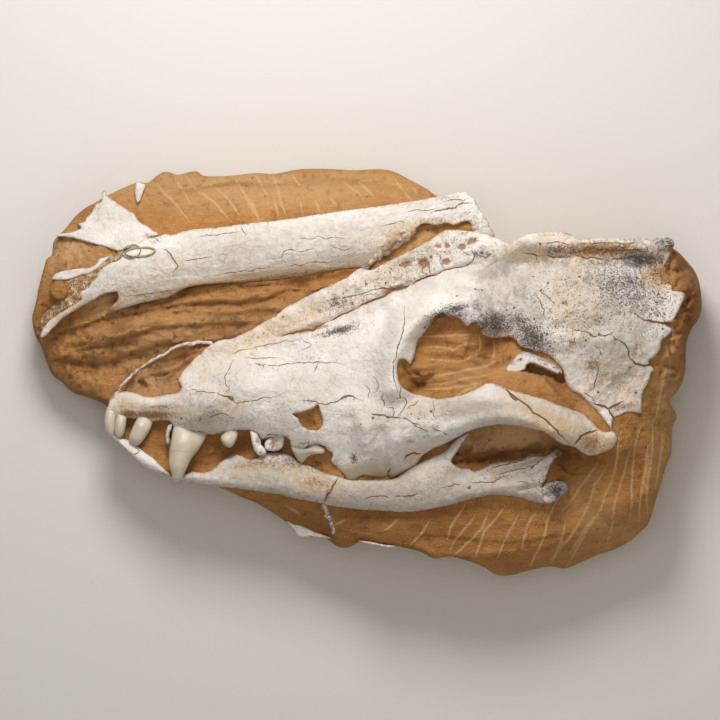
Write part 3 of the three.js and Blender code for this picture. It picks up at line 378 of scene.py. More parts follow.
# Strokes of the air chisel on the rock.
STROKES = [
    [(-106, 97), (-101.5, 90), (-99, 88), (-95, 83.5), (-88, 75)],
    [(-97.5, 99.5), (-94, 94), (-88, 84.5)],
    [(-90.5, 99), (-85.5, 92), (-77, 86), (-67, 75)],
    [(-79, 95), (-72, 90), (-67, 83.5), (-63, 78.5)],
    [(-67, 99), (-60.5, 88.5), (-54, 76)],
    [(-55.5, 99), (-52, 93), (-49, 88.5)],
    [(-47, 100), (-44, 91), (-42, 83.5), (-40, 78)],
    [(-58, 87), (-54, 77)],
    [(-46, 85), (-44, 78)],
    [(-37, 99), (-33, 93.5)],
    [(-11.5, 96), (-8, 93), (-2, 88.5)],
    [(-4, 96), (2, 90), (5, 87)],
    [(14.5, 97), (19.5, 90), (23, 86)],
    [(23, 93), (27, 88.5)],
    [(-18, 87.5), (-15, 83.5)],
    [(-33, 86), (-31.5, 78.5)],
    [(-25, 86), (-23, 80)],
    [(125.5, -32), (125, -44), (123, -54), (120, -61.5)],
    [(137, -26.5), (134, -39), (133, -51.5), (132.5, -69), (132, -74)],
    [(143.5, -24), (143, -39), (141, -54), (140.5, -64), (141.5, -74)],
    [(148.5, -29), (148, -39), (145.5, -54), (144.5, -59)],
    [(131.5, -39), (128, -54), (124.5, -64), (123.5, -74), (122.5, -81.5)],
    [(116, -45), (109.5, -54), (103, -64), (98, -70)],
    [(120.5, -46.5), (114.5, -56.5), (111, -66.5), (104.5, -79), (93, -94)],
    [(122, -54), (119.5, -61.5), (117, -69), (112, -76.5), (107, -86.5), (100, -100)],
    [(114.5, -71.5), (109.5, -79), (102, -91.5)],
    [(124.5, -74), (121, -86.5)],
    [(95.5, -64), (91, -74), (88.5, -84), (82, -98)],
    [(87, -68), (82, -74), (79.5, -81.5), (78, -88)],
    [(77, -70), (72, -79), (68.5, -86.5), (65.5, -94)],
    [(69.5, -66.5), (64.5, -74), (59.5, -79), (57, -86.5), (53.5, -94)],
    [(62, -69), (57, -79), (49.5, -86.5), (43, -93)],
    [(54.5, -71.5), (51, -76.5), (44.5, -84), (42, -89)],
    [(49.5, -66.5), (43, -76.5), (40.5, -84)],
    [(100, -74), (97, -86.5), (93, -96.5)],
    [(85, -90), (83, -97)],
    [(27.5, 17.5), (37, 18), (47, 18.5), (53, 18.5)],
    [(29, 12), (37, 12.5), (43, 11.5), (48, 13.5), (56, 14)],
    [(29, 6.5), (37, 6), (47, 5.5), (52, 7.5), (59.5, 10.5)],
    [(28, -3), (37, -1.5), (44.5, 0), (52, 1.5), (59.5, 3), (64.5, 5.5)],
    [(32, -6), (42, -5), (49.5, -3), (57, -2), (62, -1)],
    [(29, -8.5), (37, -8.5), (44.5, -7.5), (52, -6), (57, -4.5)],
    [(44.5, -11.5), (52, -8), (57, -5.5)],
    [(56, 18.5), (57, 15), (56.5, 11)],
    [(63.5, 16), (64, 11), (63, 6)],
    [(144.5, -24), (147, -11.5), (149, 1)],
    [(153, 21), (152, 11), (151, -1.5)],
    [(141, -34), (139.5, -49), (137, -64), (137, -79)],
    [(-33, -71.5), (-40.5, -66.5)],
    [(-10.5, -74), (-18, -78)],
    [(32, -74), (27, -81.5), (22, -86.5)],
    [(17, -73), (9.5, -79)],
]


# ------------------------------------------------------------------ lines and noise

def through(points, closed=False, step=1.2):
    """A smooth line through the points, sampled about every step mm."""
    p = np.array(points, float)
    if closed:
        p = np.vstack([p[-1], p, p[0], p[1]])
    else:
        p = np.vstack([2 * p[0] - p[1], p, 2 * p[-1] - p[-2]])
    runs = []
    for a, b, c, d in zip(p, p[1:], p[2:], p[3:]):
        count = max(1, round(math.dist(b[:2], c[:2]) / step))
        t = np.linspace(0, 1, count, endpoint=False)[:, None]
        bend = (c - a) * t + (2 * a - 5 * b + 4 * c - d) * t**2 + (3 * b - a - 3 * c + d) * t**3
        runs.append(b + bend / 2)
    if not closed:
        runs.append(p[-2][None])
    return np.vstack(runs)


def nearest(x, y, line, closed=False):
    """From each place to the nearest point of a line: its distance, the step to it, and its values."""
    if closed:
        line = np.vstack([line, line[:1]])
    best = np.full(x.shape, 1e9)
    step_x = np.zeros(x.shape)
    step_y = np.zeros(x.shape)
    values = np.zeros((line.shape[1] - 2,) + x.shape)
    for a, b in zip(line, line[1:]):
        dx, dy = b[0] - a[0], b[1] - a[1]
        t = ((x - a[0]) * dx + (y - a[1]) * dy) / max(dx * dx + dy * dy, 1e-9)
        t = np.clip(t, 0, 1)
        to_x = a[0] + t * dx - x
        to_y = a[1] + t * dy - y
        away = to_x * to_x + to_y * to_y
        closer = away < best
        best = np.where(closer, away, best)
        step_x = np.where(closer, to_x, step_x)
        step_y = np.where(closer, to_y, step_y)
        for k in range(len(values)):
            values[k] = np.where(closer, a[k + 2] + t * (b[k + 2] - a[k + 2]), values[k])
    return np.sqrt(best), step_x, step_y, values


def depth_inside(x, y, loop):
    """How far each place lies inside a closed line, negative outside it, and the step to the line."""
    away, step_x, step_y, _ = nearest(x, y, loop, closed=True)
    inside = np.zeros(x.shape, bool)
    for a, b in zip(loop, np.roll(loop, -1, axis=0)):
        crosses = (a[1] > y) != (b[1] > y)
        if a[1] != b[1]:
            inside ^= crosses & (x < (b[0] - a[0]) * (y - a[1]) / (b[1] - a[1]) + a[0])
    return np.where(inside, away, -away), step_x, step_y


def depth_of(x, y, loops):
    """How far each place lies inside an outline and outside the openings in it, and the step to them."""
    depth, step_x, step_y = depth_inside(x, y, loops[0])
    for opening in loops[1:]:
        inner, inner_x, inner_y = depth_inside(x, y, opening)
        closer = -inner < depth
        depth = np.where(closer, -inner, depth)
        step_x = np.where(closer, inner_x, step_x)
        step_y = np.where(closer, inner_y, step_y)
    return depth, step_x, step_y


def lattice(i, j, seed):
    """A fixed random number from -1 to 1 for each knot of a square lattice."""
    n = (i.astype(np.int64) * 374761393 + j.astype(np.int64) * 668265263 + seed * 974711) & 0xFFFFFFFF
    n = ((n ^ (n >> 13)) * 1274126177) & 0xFFFFFFFF
    return ((n ^ (n >> 16)) & 0xFFFF) / 32767.5 - 1


def lumps(x, y, size, seed, octaves=3, turn=0, stretch=1):
    """Smooth random lumps about size mm across, stretched along a direction, from about -1 to 1."""
    angle = math.radians(turn)
    u = (x * math.cos(angle) + y * math.sin(angle)) / (size * stretch)
    v = (y * math.cos(angle) - x * math.sin(angle)) / size
    total = np.zeros(x.shape)
    weight = 1.0
    for octave in range(octaves):
        i, j = np.floor(u), np.floor(v)
        f, g = u - i, v - j
        f = f * f * f * (f * (f * 6 - 15) + 10)
        g = g * g * g * (g * (g * 6 - 15) + 10)
        s = seed + octave * 17
        low = lattice(i, j, s) * (1 - f) + lattice(i + 1, j, s) * f
        high = lattice(i, j + 1, s) * (1 - f) + lattice(i + 1, j + 1, s) * f
        total += weight * (low * (1 - g) + high * g)
        weight *= 0.5
        u, v = u * 2.03 + 11.7, v * 2.03 - 5.3
    return total


def ease(t, low=0.0, high=1.0):
    """0 below low, 1 above high, with a smooth step between."""
    t = np.clip((t - low) / (high - low), 0, 1)
    return t * t * (3 - 2 * t)


def round_off(depth, radius):
    """A quarter-round edge: 1 at the edge, 0 from the radius inward."""
    t = np.clip(depth / radius, 0, 1)
    return 1 - np.sqrt(1 - (1 - t) ** 2)


def near(x, y, line, reach):
    """Which places lie in the box of a line, grown by reach."""
    low, high = line[:, :2].min(0) - reach, line[:, :2].max(0) + reach
    return (x > low[0]) & (x < high[0]) & (y > low[1]) & (y < high[1])


# ------------------------------------------------------------------ forms of the surface

BLEND = 3.5

# A ridge line: each point is [x, y, height, half width]; the surface falls by drop at the half width.
CRANIUM_FORMS = {
    "dorsal_midline": (8, [(-84, 12, 42, 13), (-40, 18, 48, 15), (-5, 32, 53, 17), (30, 46, 57, 19),
                           (56, 55, 58, 19)]),
    "right_roof": (5, [(-42, 28, 44, 9), (-5, 44, 48, 10), (25, 57, 50, 10), (52, 66, 50, 10)]),
    "muzzle_side": (12, [(-128, -17, 38, 12), (-105, -15, 46, 14), (-86, -15, 53, 18), (-50, -12, 58, 22),
                         (-10, -22, 65, 25), (14, -26, 71, 20)]),
    "face_before_the_orbit": (10, [(-12, 0, 60, 26), (4, 2, 66, 24), (15, 4, 72, 16)]),
    "zygomatic_arch": (10, [(20, -28, 72, 12), (45, -21, 79, 12), (67, -17, 84, 12), (87, -24, 84, 12),
                            (102, -31, 78, 11), (115, -36, 69, 12), (123, -33, 66, 12)]),
    "orbital_rim": (10, [(14, -8, 74, 9), (15, 6, 74, 8), (20, 20, 74, 9), (32, 30, 75, 10),
                         (45, 31, 76, 11), (54, 27, 77, 10)]),
    "braincase": (24, [(70, 32, 66, 24), (90, 27, 74, 34), (112, 24, 77, 38), (135, 22, 72, 36),
                       (150, 24, 65, 30)]),
    "sagittal_crest": (6, [(62, 61, 58, 8), (80, 64, 59, 8), (110, 64, 60, 8), (142, 63, 57, 8)]),
    "nuchal_border": (8, [(152, 56, 54, 14), (150, 34, 59, 14), (142, 6, 62, 14), (133, -14, 62, 12)]),
    "root_of_the_arch": (8, [(118, -28, 68, 12), (112, -12, 67, 14), (102, 4, 69, 14)]),
}

MANDIBLE_FORMS = {
    "body": (7, [(-129, -31, 34.5, 7), (-122, -36.5, 37.5, 8), (-105, -46, 42, 9), (-80, -53, 46, 10),
                 (-45, -54, 51, 12), (-10, -58, 55, 13), (30, -60, 59, 14), (60, -56, 61, 13),
                 (88, -54, 61, 12)]),
    "coronoid": (6, [(30, -52, 60, 10), (44, -42, 64, 7), (50, -32, 65, 5)]),
}


def melted(x, y, forms):
    """The height of several ridge lines melted into the highest."""
    heights = []
    for drop, line in forms.values():
        away, _, _, (level, half) = nearest(x, y, through(line, step=6))
        heights.append(level - drop * (away / half) ** 2)
    heights = np.array(heights)
    top = heights.max(0)
    return top + BLEND * np.log(np.exp((heights - top) / BLEND).sum(0))


# ------------------------------------------------------------------ making pieces

def edit(piece, component="VERT"):
    """Opens a piece for editing with nothing selected."""
    bpy.ops.object.select_all(action="DESELECT")
    bpy.context.view_layer.objects.active = piece
    piece.select_set(True)
    bpy.ops.object.mode_set(mode="EDIT")
    bpy.ops.mesh.select_mode(type=component)
    bpy.ops.mesh.select_all(action="DESELECT")


def close(piece):
    """Ends editing."""
    bpy.ops.object.mode_set(mode="OBJECT")
    piece.select_set(False)


def places(piece):
    """The piece's points in mm."""
    co = np.empty(len(piece.data.vertices) * 3, np.float32)
    piece.data.vertices.foreach_get("co", co)
    return co.reshape(-1, 3).astype(float) / MM


def move(piece, co):
    """Puts the piece's points at places in mm."""
    piece.data.vertices.foreach_set("co", (co * MM).astype(np.float32).ravel())
    piece.data.update()


def chosen(piece):
    """Which points of the piece are selected."""
    picked = np.empty(len(piece.data.vertices), bool)
    piece.data.vertices.foreach_get("select", picked)
    return picked


def paint(piece, name, values):
    """Stores a number, or a step as a vector, on each point for the material to read."""
    values = np.asarray(values, np.float32)
    kind, key = ("FLOAT", "value") if values.ndim == 1 else ("FLOAT_VECTOR", "vector")
    layer = piece.data.attributes.new(name, kind, "POINT")
    layer.data.foreach_set(key, values.ravel())


def cut_sheet(name, loops, cell):
    """A flat grid of square cells, cut to an outline and to the openings in it."""
    outline = loops[0]
    low, high = outline.min(0) - cell, outline.max(0) + cell
    columns, rows = (int(n) for n in np.ceil((high - low) / cell))
    bpy.ops.mesh.primitive_grid_add(x_subdivisions=columns, y_subdivisions=rows, size=1)
    piece = bpy.context.object
    piece.name = piece.data.name = name
    co = places(piece) * MM
    co[:, :2] = low + (co[:, :2] + 0.5) * (high - low)
    depth, step_x, step_y = depth_of(co[:, 0], co[:, 1], loops)
    on_edge = np.abs(depth) < 0.5 * cell
    co[on_edge, 0] += step_x[on_edge]
    co[on_edge, 1] += step_y[on_edge]
    move(piece, co)
    edit(piece)
    bpy.ops.object.mode_set(mode="OBJECT")
    piece.data.vertices.foreach_set("select", depth < -0.5 * cell)
    bpy.ops.object.mode_set(mode="EDIT")
    bpy.ops.mesh.delete(type="VERT")
    bpy.ops.mesh.select_mode(type="EDGE")
    bpy.ops.mesh.select_all(action="SELECT")
    bpy.ops.mesh.region_to_loop()
    close(piece)
    # the steps that the grid leaves along its rim are drawn onto the outline
    rim = chosen(piece)
    co = places(piece)
    _, step_x, step_y = depth_of(co[rim, 0], co[rim, 1], loops)
    co[rim, 0] += step_x
    co[rim, 1] += step_y
    move(piece, co)
    return piece


def inward(x, y, loops):
    """The unit step from places on the rim towards the inside of the piece."""
    best = np.full(x.shape, 1e9)
    step = np.zeros(x.shape + (2,))
    for k, loop in enumerate(loops):
        along = np.roll(loop, -3, axis=0) - np.roll(loop, 3, axis=0)
        area = np.sum(loop[:, 0] * np.roll(loop[:, 1], -1) - np.roll(loop[:, 0], -1) * loop[:, 1])
        side = np.sign(area) * (-1 if k else 1)
        normal = side * np.column_stack([-along[:, 1], along[:, 0]])
        normal /= np.hypot(normal[:, 0], normal[:, 1])[:, None] + 1e-9
        away, _, _, values = nearest(x, y, np.column_stack([loop, normal]), closed=True)
        closer = away < best
        best = np.where(closer, away, best)
        step = np.where(closer[:, None], values.T, step)
    return step


def walls(piece, loops, rings, floor=None):
    """Draws the open edges of a sheet down in rings and closes it below.

    Each ring is [drop, step inwards] in mm. Over a floor the drop is a share of the way down to it. Returns
    how many points the sheet had.
    """
    edit(piece, "EDGE")
    bpy.ops.mesh.select_all(action="SELECT")
    bpy.ops.mesh.region_to_loop()
    top_count = len(piece.data.vertices)
    for drop, inset in rings:
        bpy.ops.mesh.extrude_edges_move()
        bpy.ops.object.mode_set(mode="OBJECT")
        co = places(piece)
        picked = chosen(piece)
        co[picked, :2] += inward(co[picked, 0], co[picked, 1], loops) * inset
        co[picked, 2] -= drop if floor is None else (co[picked, 2] - floor) * drop
        move(piece, co)
        bpy.ops.object.mode_set(mode="EDIT")
    # the bottom is filled while its rim lies flat, so that no face crosses an opening
    bpy.ops.object.mode_set(mode="OBJECT")
    levels = co[:, 2].copy()
    co[picked, 2] = 0
    move(piece, co)
    bpy.ops.object.mode_set(mode="EDIT")
    bpy.ops.mesh.fill(use_beauty=False)
    bpy.ops.object.mode_set(mode="OBJECT")
    co[:, 2] = levels
    move(piece, co)
    bpy.ops.object.mode_set(mode="EDIT")
    bpy.ops.mesh.select_all(action="SELECT")
    bpy.ops.mesh.normals_make_consistent(inside=False)
    close(piece)
    return top_count


def bar_piece(name, stations, segments=28, rings=44, cap=1.6):
    """A round bar with rounded ends: each station is [x, y, z, half width, half depth].

    Returns the piece and the share of the way from its first end at which each point lies.
    """
    bpy.ops.mesh.primitive_uv_sphere_add(segments=segments, ring_count=rings, radius=1)
    piece = bpy.context.object
    piece.name = piece.data.name = name
    co = places(piece) * MM
    line = through(stations, step=0.4)
    run = np.append(0, np.cumsum(np.hypot(*np.diff(line[:, :2], axis=0).T)))
    share = np.arccos(np.clip(co[:, 2], -1, 1)) / math.pi
    at = share * run[-1]
    x, y, z, half, deep = (np.interp(at, run, line[:, k]) for k in range(5))
    along = np.gradient(line[:, :2], axis=0)
    along /= np.hypot(along[:, 0], along[:, 1])[:, None]
    across_x, across_y = (np.interp(at, run, value) for value in (-along[:, 1], along[:, 0]))
    turn = np.arctan2(co[:, 1], co[:, 0])
    full = 1 - round_off(np.minimum(at, run[-1] - at), cap)
    side = half * full * np.cos(turn)
    rise = deep * full * np.sin(turn)
    move(piece, np.column_stack([x + across_x * side, y + across_y * side, z + rise]))
    return piece, share


def finish_piece(piece, material, nodes=(), smooth=60):
    """Gives a finished piece its material, its place on the body and the solids that it stands for.

    Edges turned by less than smooth degrees are shaded round.
    """
    piece.data.materials.clear()
    piece.data.materials.append(material)
    bpy.ops.object.select_all(action="DESELECT")
    bpy.context.view_layer.objects.active = piece
    piece.select_set(True)
    bpy.ops.object.shade_smooth_by_angle(angle=math.radians(smooth))
    piece.select_set(False)
    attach(piece, "root")
    if nodes:
        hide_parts(*nodes)


# ------------------------------------------------------------------ materials

LINE_ATTRIBUTES = ("hairline", "seam", "stroke")  # steps to a line, stored as vectors; the others are numbers


def linear(code):
    """An sRGB hex colour as linear red, green, blue and alpha."""
    parts = [int(code[i : i + 2], 16) / 255 for i in (1, 3, 5)]
    return [c / 12.92 if c <= 0.04045 else ((c + 0.055) / 1.055) ** 2.4 for c in parts] + [1]


def add_node(tree, kind, inputs=None, **settings):
    """Adds a node with its settings; each input is a value, or the output or the node that feeds it."""
    node = tree.nodes.new(kind)
    for key, value in settings.items():
        setattr(node, key, value)
    for key, value in (inputs or {}).items():
        if isinstance(value, bpy.types.Node):
            value = next(output for output in value.outputs if output.enabled)
        if isinstance(value, bpy.types.NodeSocket):
            tree.links.new(value, node.inputs[key])
        else:
            node.inputs[key].default_value = value
    return node


def size(mm):
    """The scale of a pattern on Object coordinates whose lumps are that many mm across."""
    return 1 / (mm * MM)


def new_tree(name, attributes=()):
    """A material with an empty tree, the place on the piece in metres, and the piece's attributes."""
    material = bpy.data.materials.new(name)
    material.use_nodes = True
    tree = material.node_tree
    tree.nodes.clear()
    where = add_node(tree, "ShaderNodeTexCoord").outputs["Object"]
    read = {key: add_node(tree, "ShaderNodeAttribute", attribute_name=key).outputs[
        "Vector" if key in LINE_ATTRIBUTES else "Fac"] for key in attributes}
    return material, tree, where, read


def stain(tree, colour, value, start, full, strength, tint):
    """Lays a tint over a colour: none where the value is at start, its strength where it is at full."""
    share = add_node(tree, "ShaderNodeMapRange", {"Value": value, 1: start, 2: full, 3: 0.0, 4: strength})
    return add_node(tree, "ShaderNodeMix", {0: share, 6: colour, 7: linear(tint)}, data_type="RGBA")


def scatter_grains(tree, where, mm, share, widest, start, full, strength):
    """Round grains of all sizes up to widest, of cells mm across, in a share of the cells."""
    cells = add_node(tree, "ShaderNodeTexVoronoi", {"Vector": where, "Scale": size(mm), "Randomness": 1.0})
    pick = add_node(tree, "ShaderNodeSeparateColor", {"Color": cells.outputs["Color"]})
    here = add_node(tree, "ShaderNodeMath", {0: pick.outputs[0], 1: share}, operation="LESS_THAN")
    core = add_node(tree, "ShaderNodeMath", {0: pick.outputs[1], 1: widest}, operation="MULTIPLY")
    inside = add_node(tree, "ShaderNodeMath", {0: core, 1: cells.outputs["Distance"]}, operation="SUBTRACT")
    spot = add_node(tree, "ShaderNodeMapRange", {"Value": inside, 1: start, 2: full, 3: 0.0, 4: strength})
    return add_node(tree, "ShaderNodeMath", {0: here, 1: spot}, operation="MULTIPLY")


def drawn_line(tree, step, wobble, start, full, strength):
    """A crack or a stroke, from the step to it in half widths and a wobble of its width."""
    width = add_node(tree, "ShaderNodeVectorMath", {0: step}, operation="LENGTH")
    ratio = add_node(tree, "ShaderNodeMath", {0: width, 1: wobble}, operation="DIVIDE")
    return add_node(tree, "ShaderNodeMapRange", {"Value": ratio, 1: start, 2: full, 3: 0.0, 4: strength})


def finish_surface(tree, colour, height, layers, strength, depth, gloss):
    """The finished surface: its colour, its gloss and a bump depth mm deep.

    The bump's relief is a height with layers on it: [value, how much it raises] each.
    """
    for value, factor in layers:
        height = add_node(tree, "ShaderNodeMath", {0: value, 1: factor, 2: height}, operation="MULTIPLY_ADD")
    bump = add_node(tree, "ShaderNodeBump", {"Height": height, "Strength": strength, "Distance": depth * MM})
    shader = add_node(tree, "ShaderNodeBsdfPrincipled", {"Base Color": colour, "Normal": bump, **gloss})
    add_node(tree, "ShaderNodeOutputMaterial", {"Surface": shader})


def fossil_bone():
    """Mineralised bone, scraped clean: chalky and pale, with warm patches, grey patches that are partly painted
    shade on its lower sides, rust and black stains.
    """
    material, tree, where, read = new_tree("fossil_bone_scraped", (
        "hairline", "seam", "manganese", "dots", "rust", "rim", "warm", "grey_and_painted_shade"))
    broad, cloud, fine, speck, pepper, grit = (
        add_node(tree, "ShaderNodeTexNoise", {
            "Vector": where, "Scale": size(mm), "Detail": detail, "Roughness": rough})
        for mm, detail, rough in ((20, 4.0, 0.6), (6, 6.0, 0.75), (2.6, 5.0, 0.65), (1.4, 5.0, 0.8),
                                  (0.8, 2.0, 0.5), (0.6, 2.0, 0.5)))
    colour = stain(tree, linear("#f7f3f0"), broad, 0.38, 0.62, 1.0, "#e3dcd7")
    # stains: attribute, the noise that breaks it up and its range, where the stain starts and is full, its
    # strength, its colour
    # the grey layer is partly grey mottling and partly painted shade on the lower sides of the jaw, the
    # maxilla, the arch and the limb bone
    for name, noise, low, high, start, full, strength, tint in (
            ("grey_and_painted_shade", fine, 0.0, 1.0, 0.45, 1.25, 0.9, "#b9aea2"),
            ("warm", cloud, 0.2, 0.8, 0.5, 1.3, 0.85, "#d8ba8e"),
            ("rust", speck, 0.35, 0.65, 0.85, 1.5, 0.85, "#95683a"),
            ("manganese", cloud, 0.35, 0.65, 0.75, 1.6, 0.9, "#8f8c8f"),
            ("manganese", speck, 0.35, 0.65, 1.0, 1.5, 0.9, "#403c3e"),
            ("rim", fine, 0.35, 0.65, 1.2, 1.8, 0.9, "#b08350")):
        noise = add_node(tree, "ShaderNodeMapRange", {"Value": noise, 1: low, 2: high})
        edge = add_node(tree, "ShaderNodeMath", {0: read[name], 1: noise}, operation="ADD")
        share = add_node(tree, "ShaderNodeMapRange", {"Value": edge, 1: start, 2: full, 3: 0.0, 4: strength})
        present = add_node(tree, "ShaderNodeMapRange", {"Value": read[name], 1: 0.02, 2: 0.2})
        share = add_node(tree, "ShaderNodeMath", {0: share, 1: present}, operation="MULTIPLY")
        colour = add_node(tree, "ShaderNodeMix", {0: share, 6: colour, 7: linear(tint)}, data_type="RGBA")
    for noise, strength in ((fine, 0.2), (speck, 0.14)):
        colour = stain(tree, colour, noise, 0.5, 0.72, strength, "#b3a698")
    # black and brown grains: a fine pepper, thick where the dots attribute is high, and a few open pores
    tint = stain(tree, linear("#3b3739"), fine, 0.42, 0.6, 1.0, "#6d4c33")
    dense = add_node(tree, "ShaderNodeMath", {0: read["dots"], 1: 0.24, 2: pepper}, operation="MULTIPLY_ADD")
    fleck = add_node(tree, "ShaderNodeMapRange", {"Value": dense, 1: 0.7, 2: 0.76, 3: 0.0, 4: 0.85})
    wanted = add_node(tree, "ShaderNodeMath", {0: read["dots"], 1: 0.7, 2: 0.02}, operation="MULTIPLY_ADD")
    pore = scatter_grains(tree, where, 3.2, wanted, 0.29, -0.02, 0.05, 0.85)
    grain = add_node(tree, "ShaderNodeMath", {0: fleck, 1: pore}, operation="MAXIMUM")
    colour = add_node(tree, "ShaderNodeMix", {0: grain, 6: colour, 7: tint}, data_type="RGBA")
    # cracks: a fine crazing everywhere, hairlines that fade in and out, seams packed with sand
    drift = add_node(tree, "ShaderNodeTexNoise", {"Vector": where, "Scale": size(5), "Detail": 3.0})
    bent = add_node(tree, "ShaderNodeVectorMath", {
        0: drift.outputs["Color"], 1: (4 * MM, 4 * MM, 4 * MM), 2: where}, operation="MULTIPLY_ADD")
    crazing = add_node(tree, "ShaderNodeTexVoronoi", {"Vector": bent, "Scale": size(11)},
                       feature="DISTANCE_TO_EDGE")
    faint = add_node(tree, "ShaderNodeMapRange", {"Value": crazing.outputs["Distance"], 1: 0.02, 2: 0.005})
    patchy = add_node(tree, "ShaderNodeMapRange", {"Value": broad, 1: 0.5, 2: 0.62, 3: 0.0, 4: 0.5})
    faint = add_node(tree, "ShaderNodeMath", {0: faint, 1: patchy}, operation="MULTIPLY")
    wobble = add_node(tree, "ShaderNodeMapRange", {"Value": grit, 1: 0.3, 2: 0.7, 3: 0.5, 4: 1.3})
    fading = add_node(tree, "ShaderNodeMapRange", {"Value": fine, 1: 0.36, 2: 0.5, 3: 0.25, 4: 1.0})
    seam = drawn_line(tree, read["seam"], wobble, 1.15, 0.8, 1.0)
    hairline = drawn_line(tree, read["hairline"], wobble, 1.3, 0.5, 1.0)
    hairline = add_node(tree, "ShaderNodeMath", {0: hairline, 1: fading}, operation="MULTIPLY")
    layers = [(fine, 1.4), (speck, 0.8), (grit, 0.4), (grain, -0.4)]
    for mask, tint, dent in ((faint, "#a4917d", -0.3), (seam, "#85592f", -1.0), (hairline, "#83603f", -0.8)):
        colour = add_node(tree, "ShaderNodeMix", {0: mask, 6: colour, 7: linear(tint)}, data_type="RGBA")
        layers.append((mask, dent))
    finish_surface(tree, colour, 0.0, layers, 0.9, 0.8, {"Roughness": 0.7, "IOR": 1.5})
    return material


def sandstone():
    """Soft orange-brown sandstone, cut back with an air chisel: grainy and streaked, with pale pick strokes;
    its hollows and some patches are painted darker as shade, and others paler as light.
    """
    material, tree, where, read = new_tree("sandstone_matrix", ("stroke", "hollow_shade", "pale_and_painted_light", "dark_and_painted_shade"))
    # grain drawn out along the bedding, which runs a little up to the right
    bedding = add_node(tree, "ShaderNodeMapping", {
        "Vector": where, "Rotation": (0, 0, -0.2), "Scale": (0.16, 1, 1)})
    broad, fine, sand, streak = (
        add_node(tree, "ShaderNodeTexNoise", {
            "Vector": place, "Scale": size(mm), "Detail": detail, "Roughness": rough})
        for place, mm, detail, rough in ((where, 18, 5.0, 0.6), (where, 2.8, 6.0, 0.72), (where, 0.7, 2.0, 0.6),
                                         (bedding, 2.6, 5.0, 0.65)))
    wobble = add_node(tree, "ShaderNodeMapRange", {"Value": fine, 1: 0.3, 2: 0.7, 3: 0.6, 4: 1.4})
    stroke = drawn_line(tree, read["stroke"], wobble, 1.4, 0.2, 0.6)
    colour = stain(tree, linear("#c69151"), broad, 0.35, 0.65, 1.0, "#b2793f")
    # the pale tint is partly the stone's own pale patches and partly painted light that lifts shade; the dark
    # tint is painted shade, with a darker tone on the nodule; the last tint is painted shade in hollows,
    # creases and pits
    for value, start, full, strength, tint in (
            (streak, 0.48, 0.72, 0.5, "#84502a"), (fine, 0.52, 0.78, 0.5, "#8a5c33"),
            (sand, 0.52, 0.7, 0.35, "#dab583"), (sand, 0.44, 0.3, 0.4, "#734a27"),
            (read["pale_and_painted_light"], 0.0, 1.0, 1.0, "#d6b083"), (read["dark_and_painted_shade"], 0.0, 1.0, 1.0, "#7c4e27"),
            (stroke, 0.0, 1.0, 1.0, "#dcb989"), (read["hollow_shade"], 0.0, 1.0, 1.0, "#6a3e1c")):
        colour = stain(tree, colour, value, start, full, strength, tint)
    crumb = scatter_grains(tree, where, 3.4, 0.22, 0.24, -0.05, 0.08, 0.6)
    colour = add_node(tree, "ShaderNodeMix", {0: crumb, 6: colour, 7: linear("#5e3c20")}, data_type="RGBA")
    layers = [(fine, 1.5), (sand, 0.5), (streak, 1.0), (stroke, -0.25), (crumb, -0.5)]
    finish_surface(tree, colour, 0.0, layers, 0.9, 1.1, {"Roughness": 0.95, "IOR": 1.45})
    return material


def tooth_enamel():
    """Fossil tooth enamel: dense greenish ivory with a satin polish, greyer at the root, finely crazed."""
    material, tree, where, read = new_tree("fossil_enamel", ("root", "rim", "hairline"))
    broad, fine = (
        add_node(tree, "ShaderNodeTexNoise", {
            "Vector": where, "Scale": size(mm), "Detail": detail, "Roughness": rough})
        for mm, detail, rough in ((6, 3.0, 0.5), (1.2, 4.0, 0.6)))
    brown_rim = add_node(tree, "ShaderNodeMath", {0: read["rim"], 1: fine}, operation="ADD")
    width = add_node(tree, "ShaderNodeVectorMath", {0: read["hairline"]}, operation="LENGTH")
    colour = stain(tree, linear("#cbc2b0"), broad, 0.35, 0.65, 1.0, "#beb49c")
    for value, start, full, strength, tint in (
            (read["root"], 0.0, 1.0, 1.0, "#d2cabf"), (brown_rim, 1.1, 1.5, 0.8, "#a5804f"),
            (width, 1.2, 0.5, 0.35, "#8c7a60")):
        colour = stain(tree, colour, value, start, full, strength, tint)
    finish_surface(tree, colour, fine, [], 0.2, 0.3, {
        "Roughness": 0.42, "IOR": 1.6, "Subsurface Weight": 0.15, "Subsurface Radius": (0.002, 0.0015, 0.001),
        "Subsurface Scale": 1.0})
    return material


def spongy_bone():
    """The open inner bone of the broken shaft: pores packed with brown sand between pale struts."""
    material, tree, where, _ = new_tree("spongy_bone_in_sand")
    pores = add_node(tree, "ShaderNodeTexVoronoi", {
        "Vector": where, "Scale": size(1.05), "Randomness": 1.0}, feature="DISTANCE_TO_EDGE")
    fine = add_node(tree, "ShaderNodeTexNoise", {
        "Vector": where, "Scale": size(2.5), "Detail": 5.0, "Roughness": 0.7})
    strut = add_node(tree, "ShaderNodeMapRange", {"Value": pores.outputs["Distance"], 1: 0.3, 2: 0.1})
    patchy = add_node(tree, "ShaderNodeMapRange", {"Value": fine, 1: 0.38, 2: 0.56})
    share = add_node(tree, "ShaderNodeMath", {0: strut, 1: patchy}, operation="MULTIPLY")
    sand = add_node(tree, "ShaderNodeMix", {
        0: fine, 6: linear("#ab7243"), 7: linear("#7c4f2c")}, data_type="RGBA")
    colour = add_node(tree, "ShaderNodeMix", {0: share, 6: sand, 7: linear("#e3cba6")}, data_type="RGBA")
    finish_surface(tree, colour, fine, [(share, 0.8)], 0.9, 0.8, {"Roughness": 0.9, "IOR": 1.5})
    return material


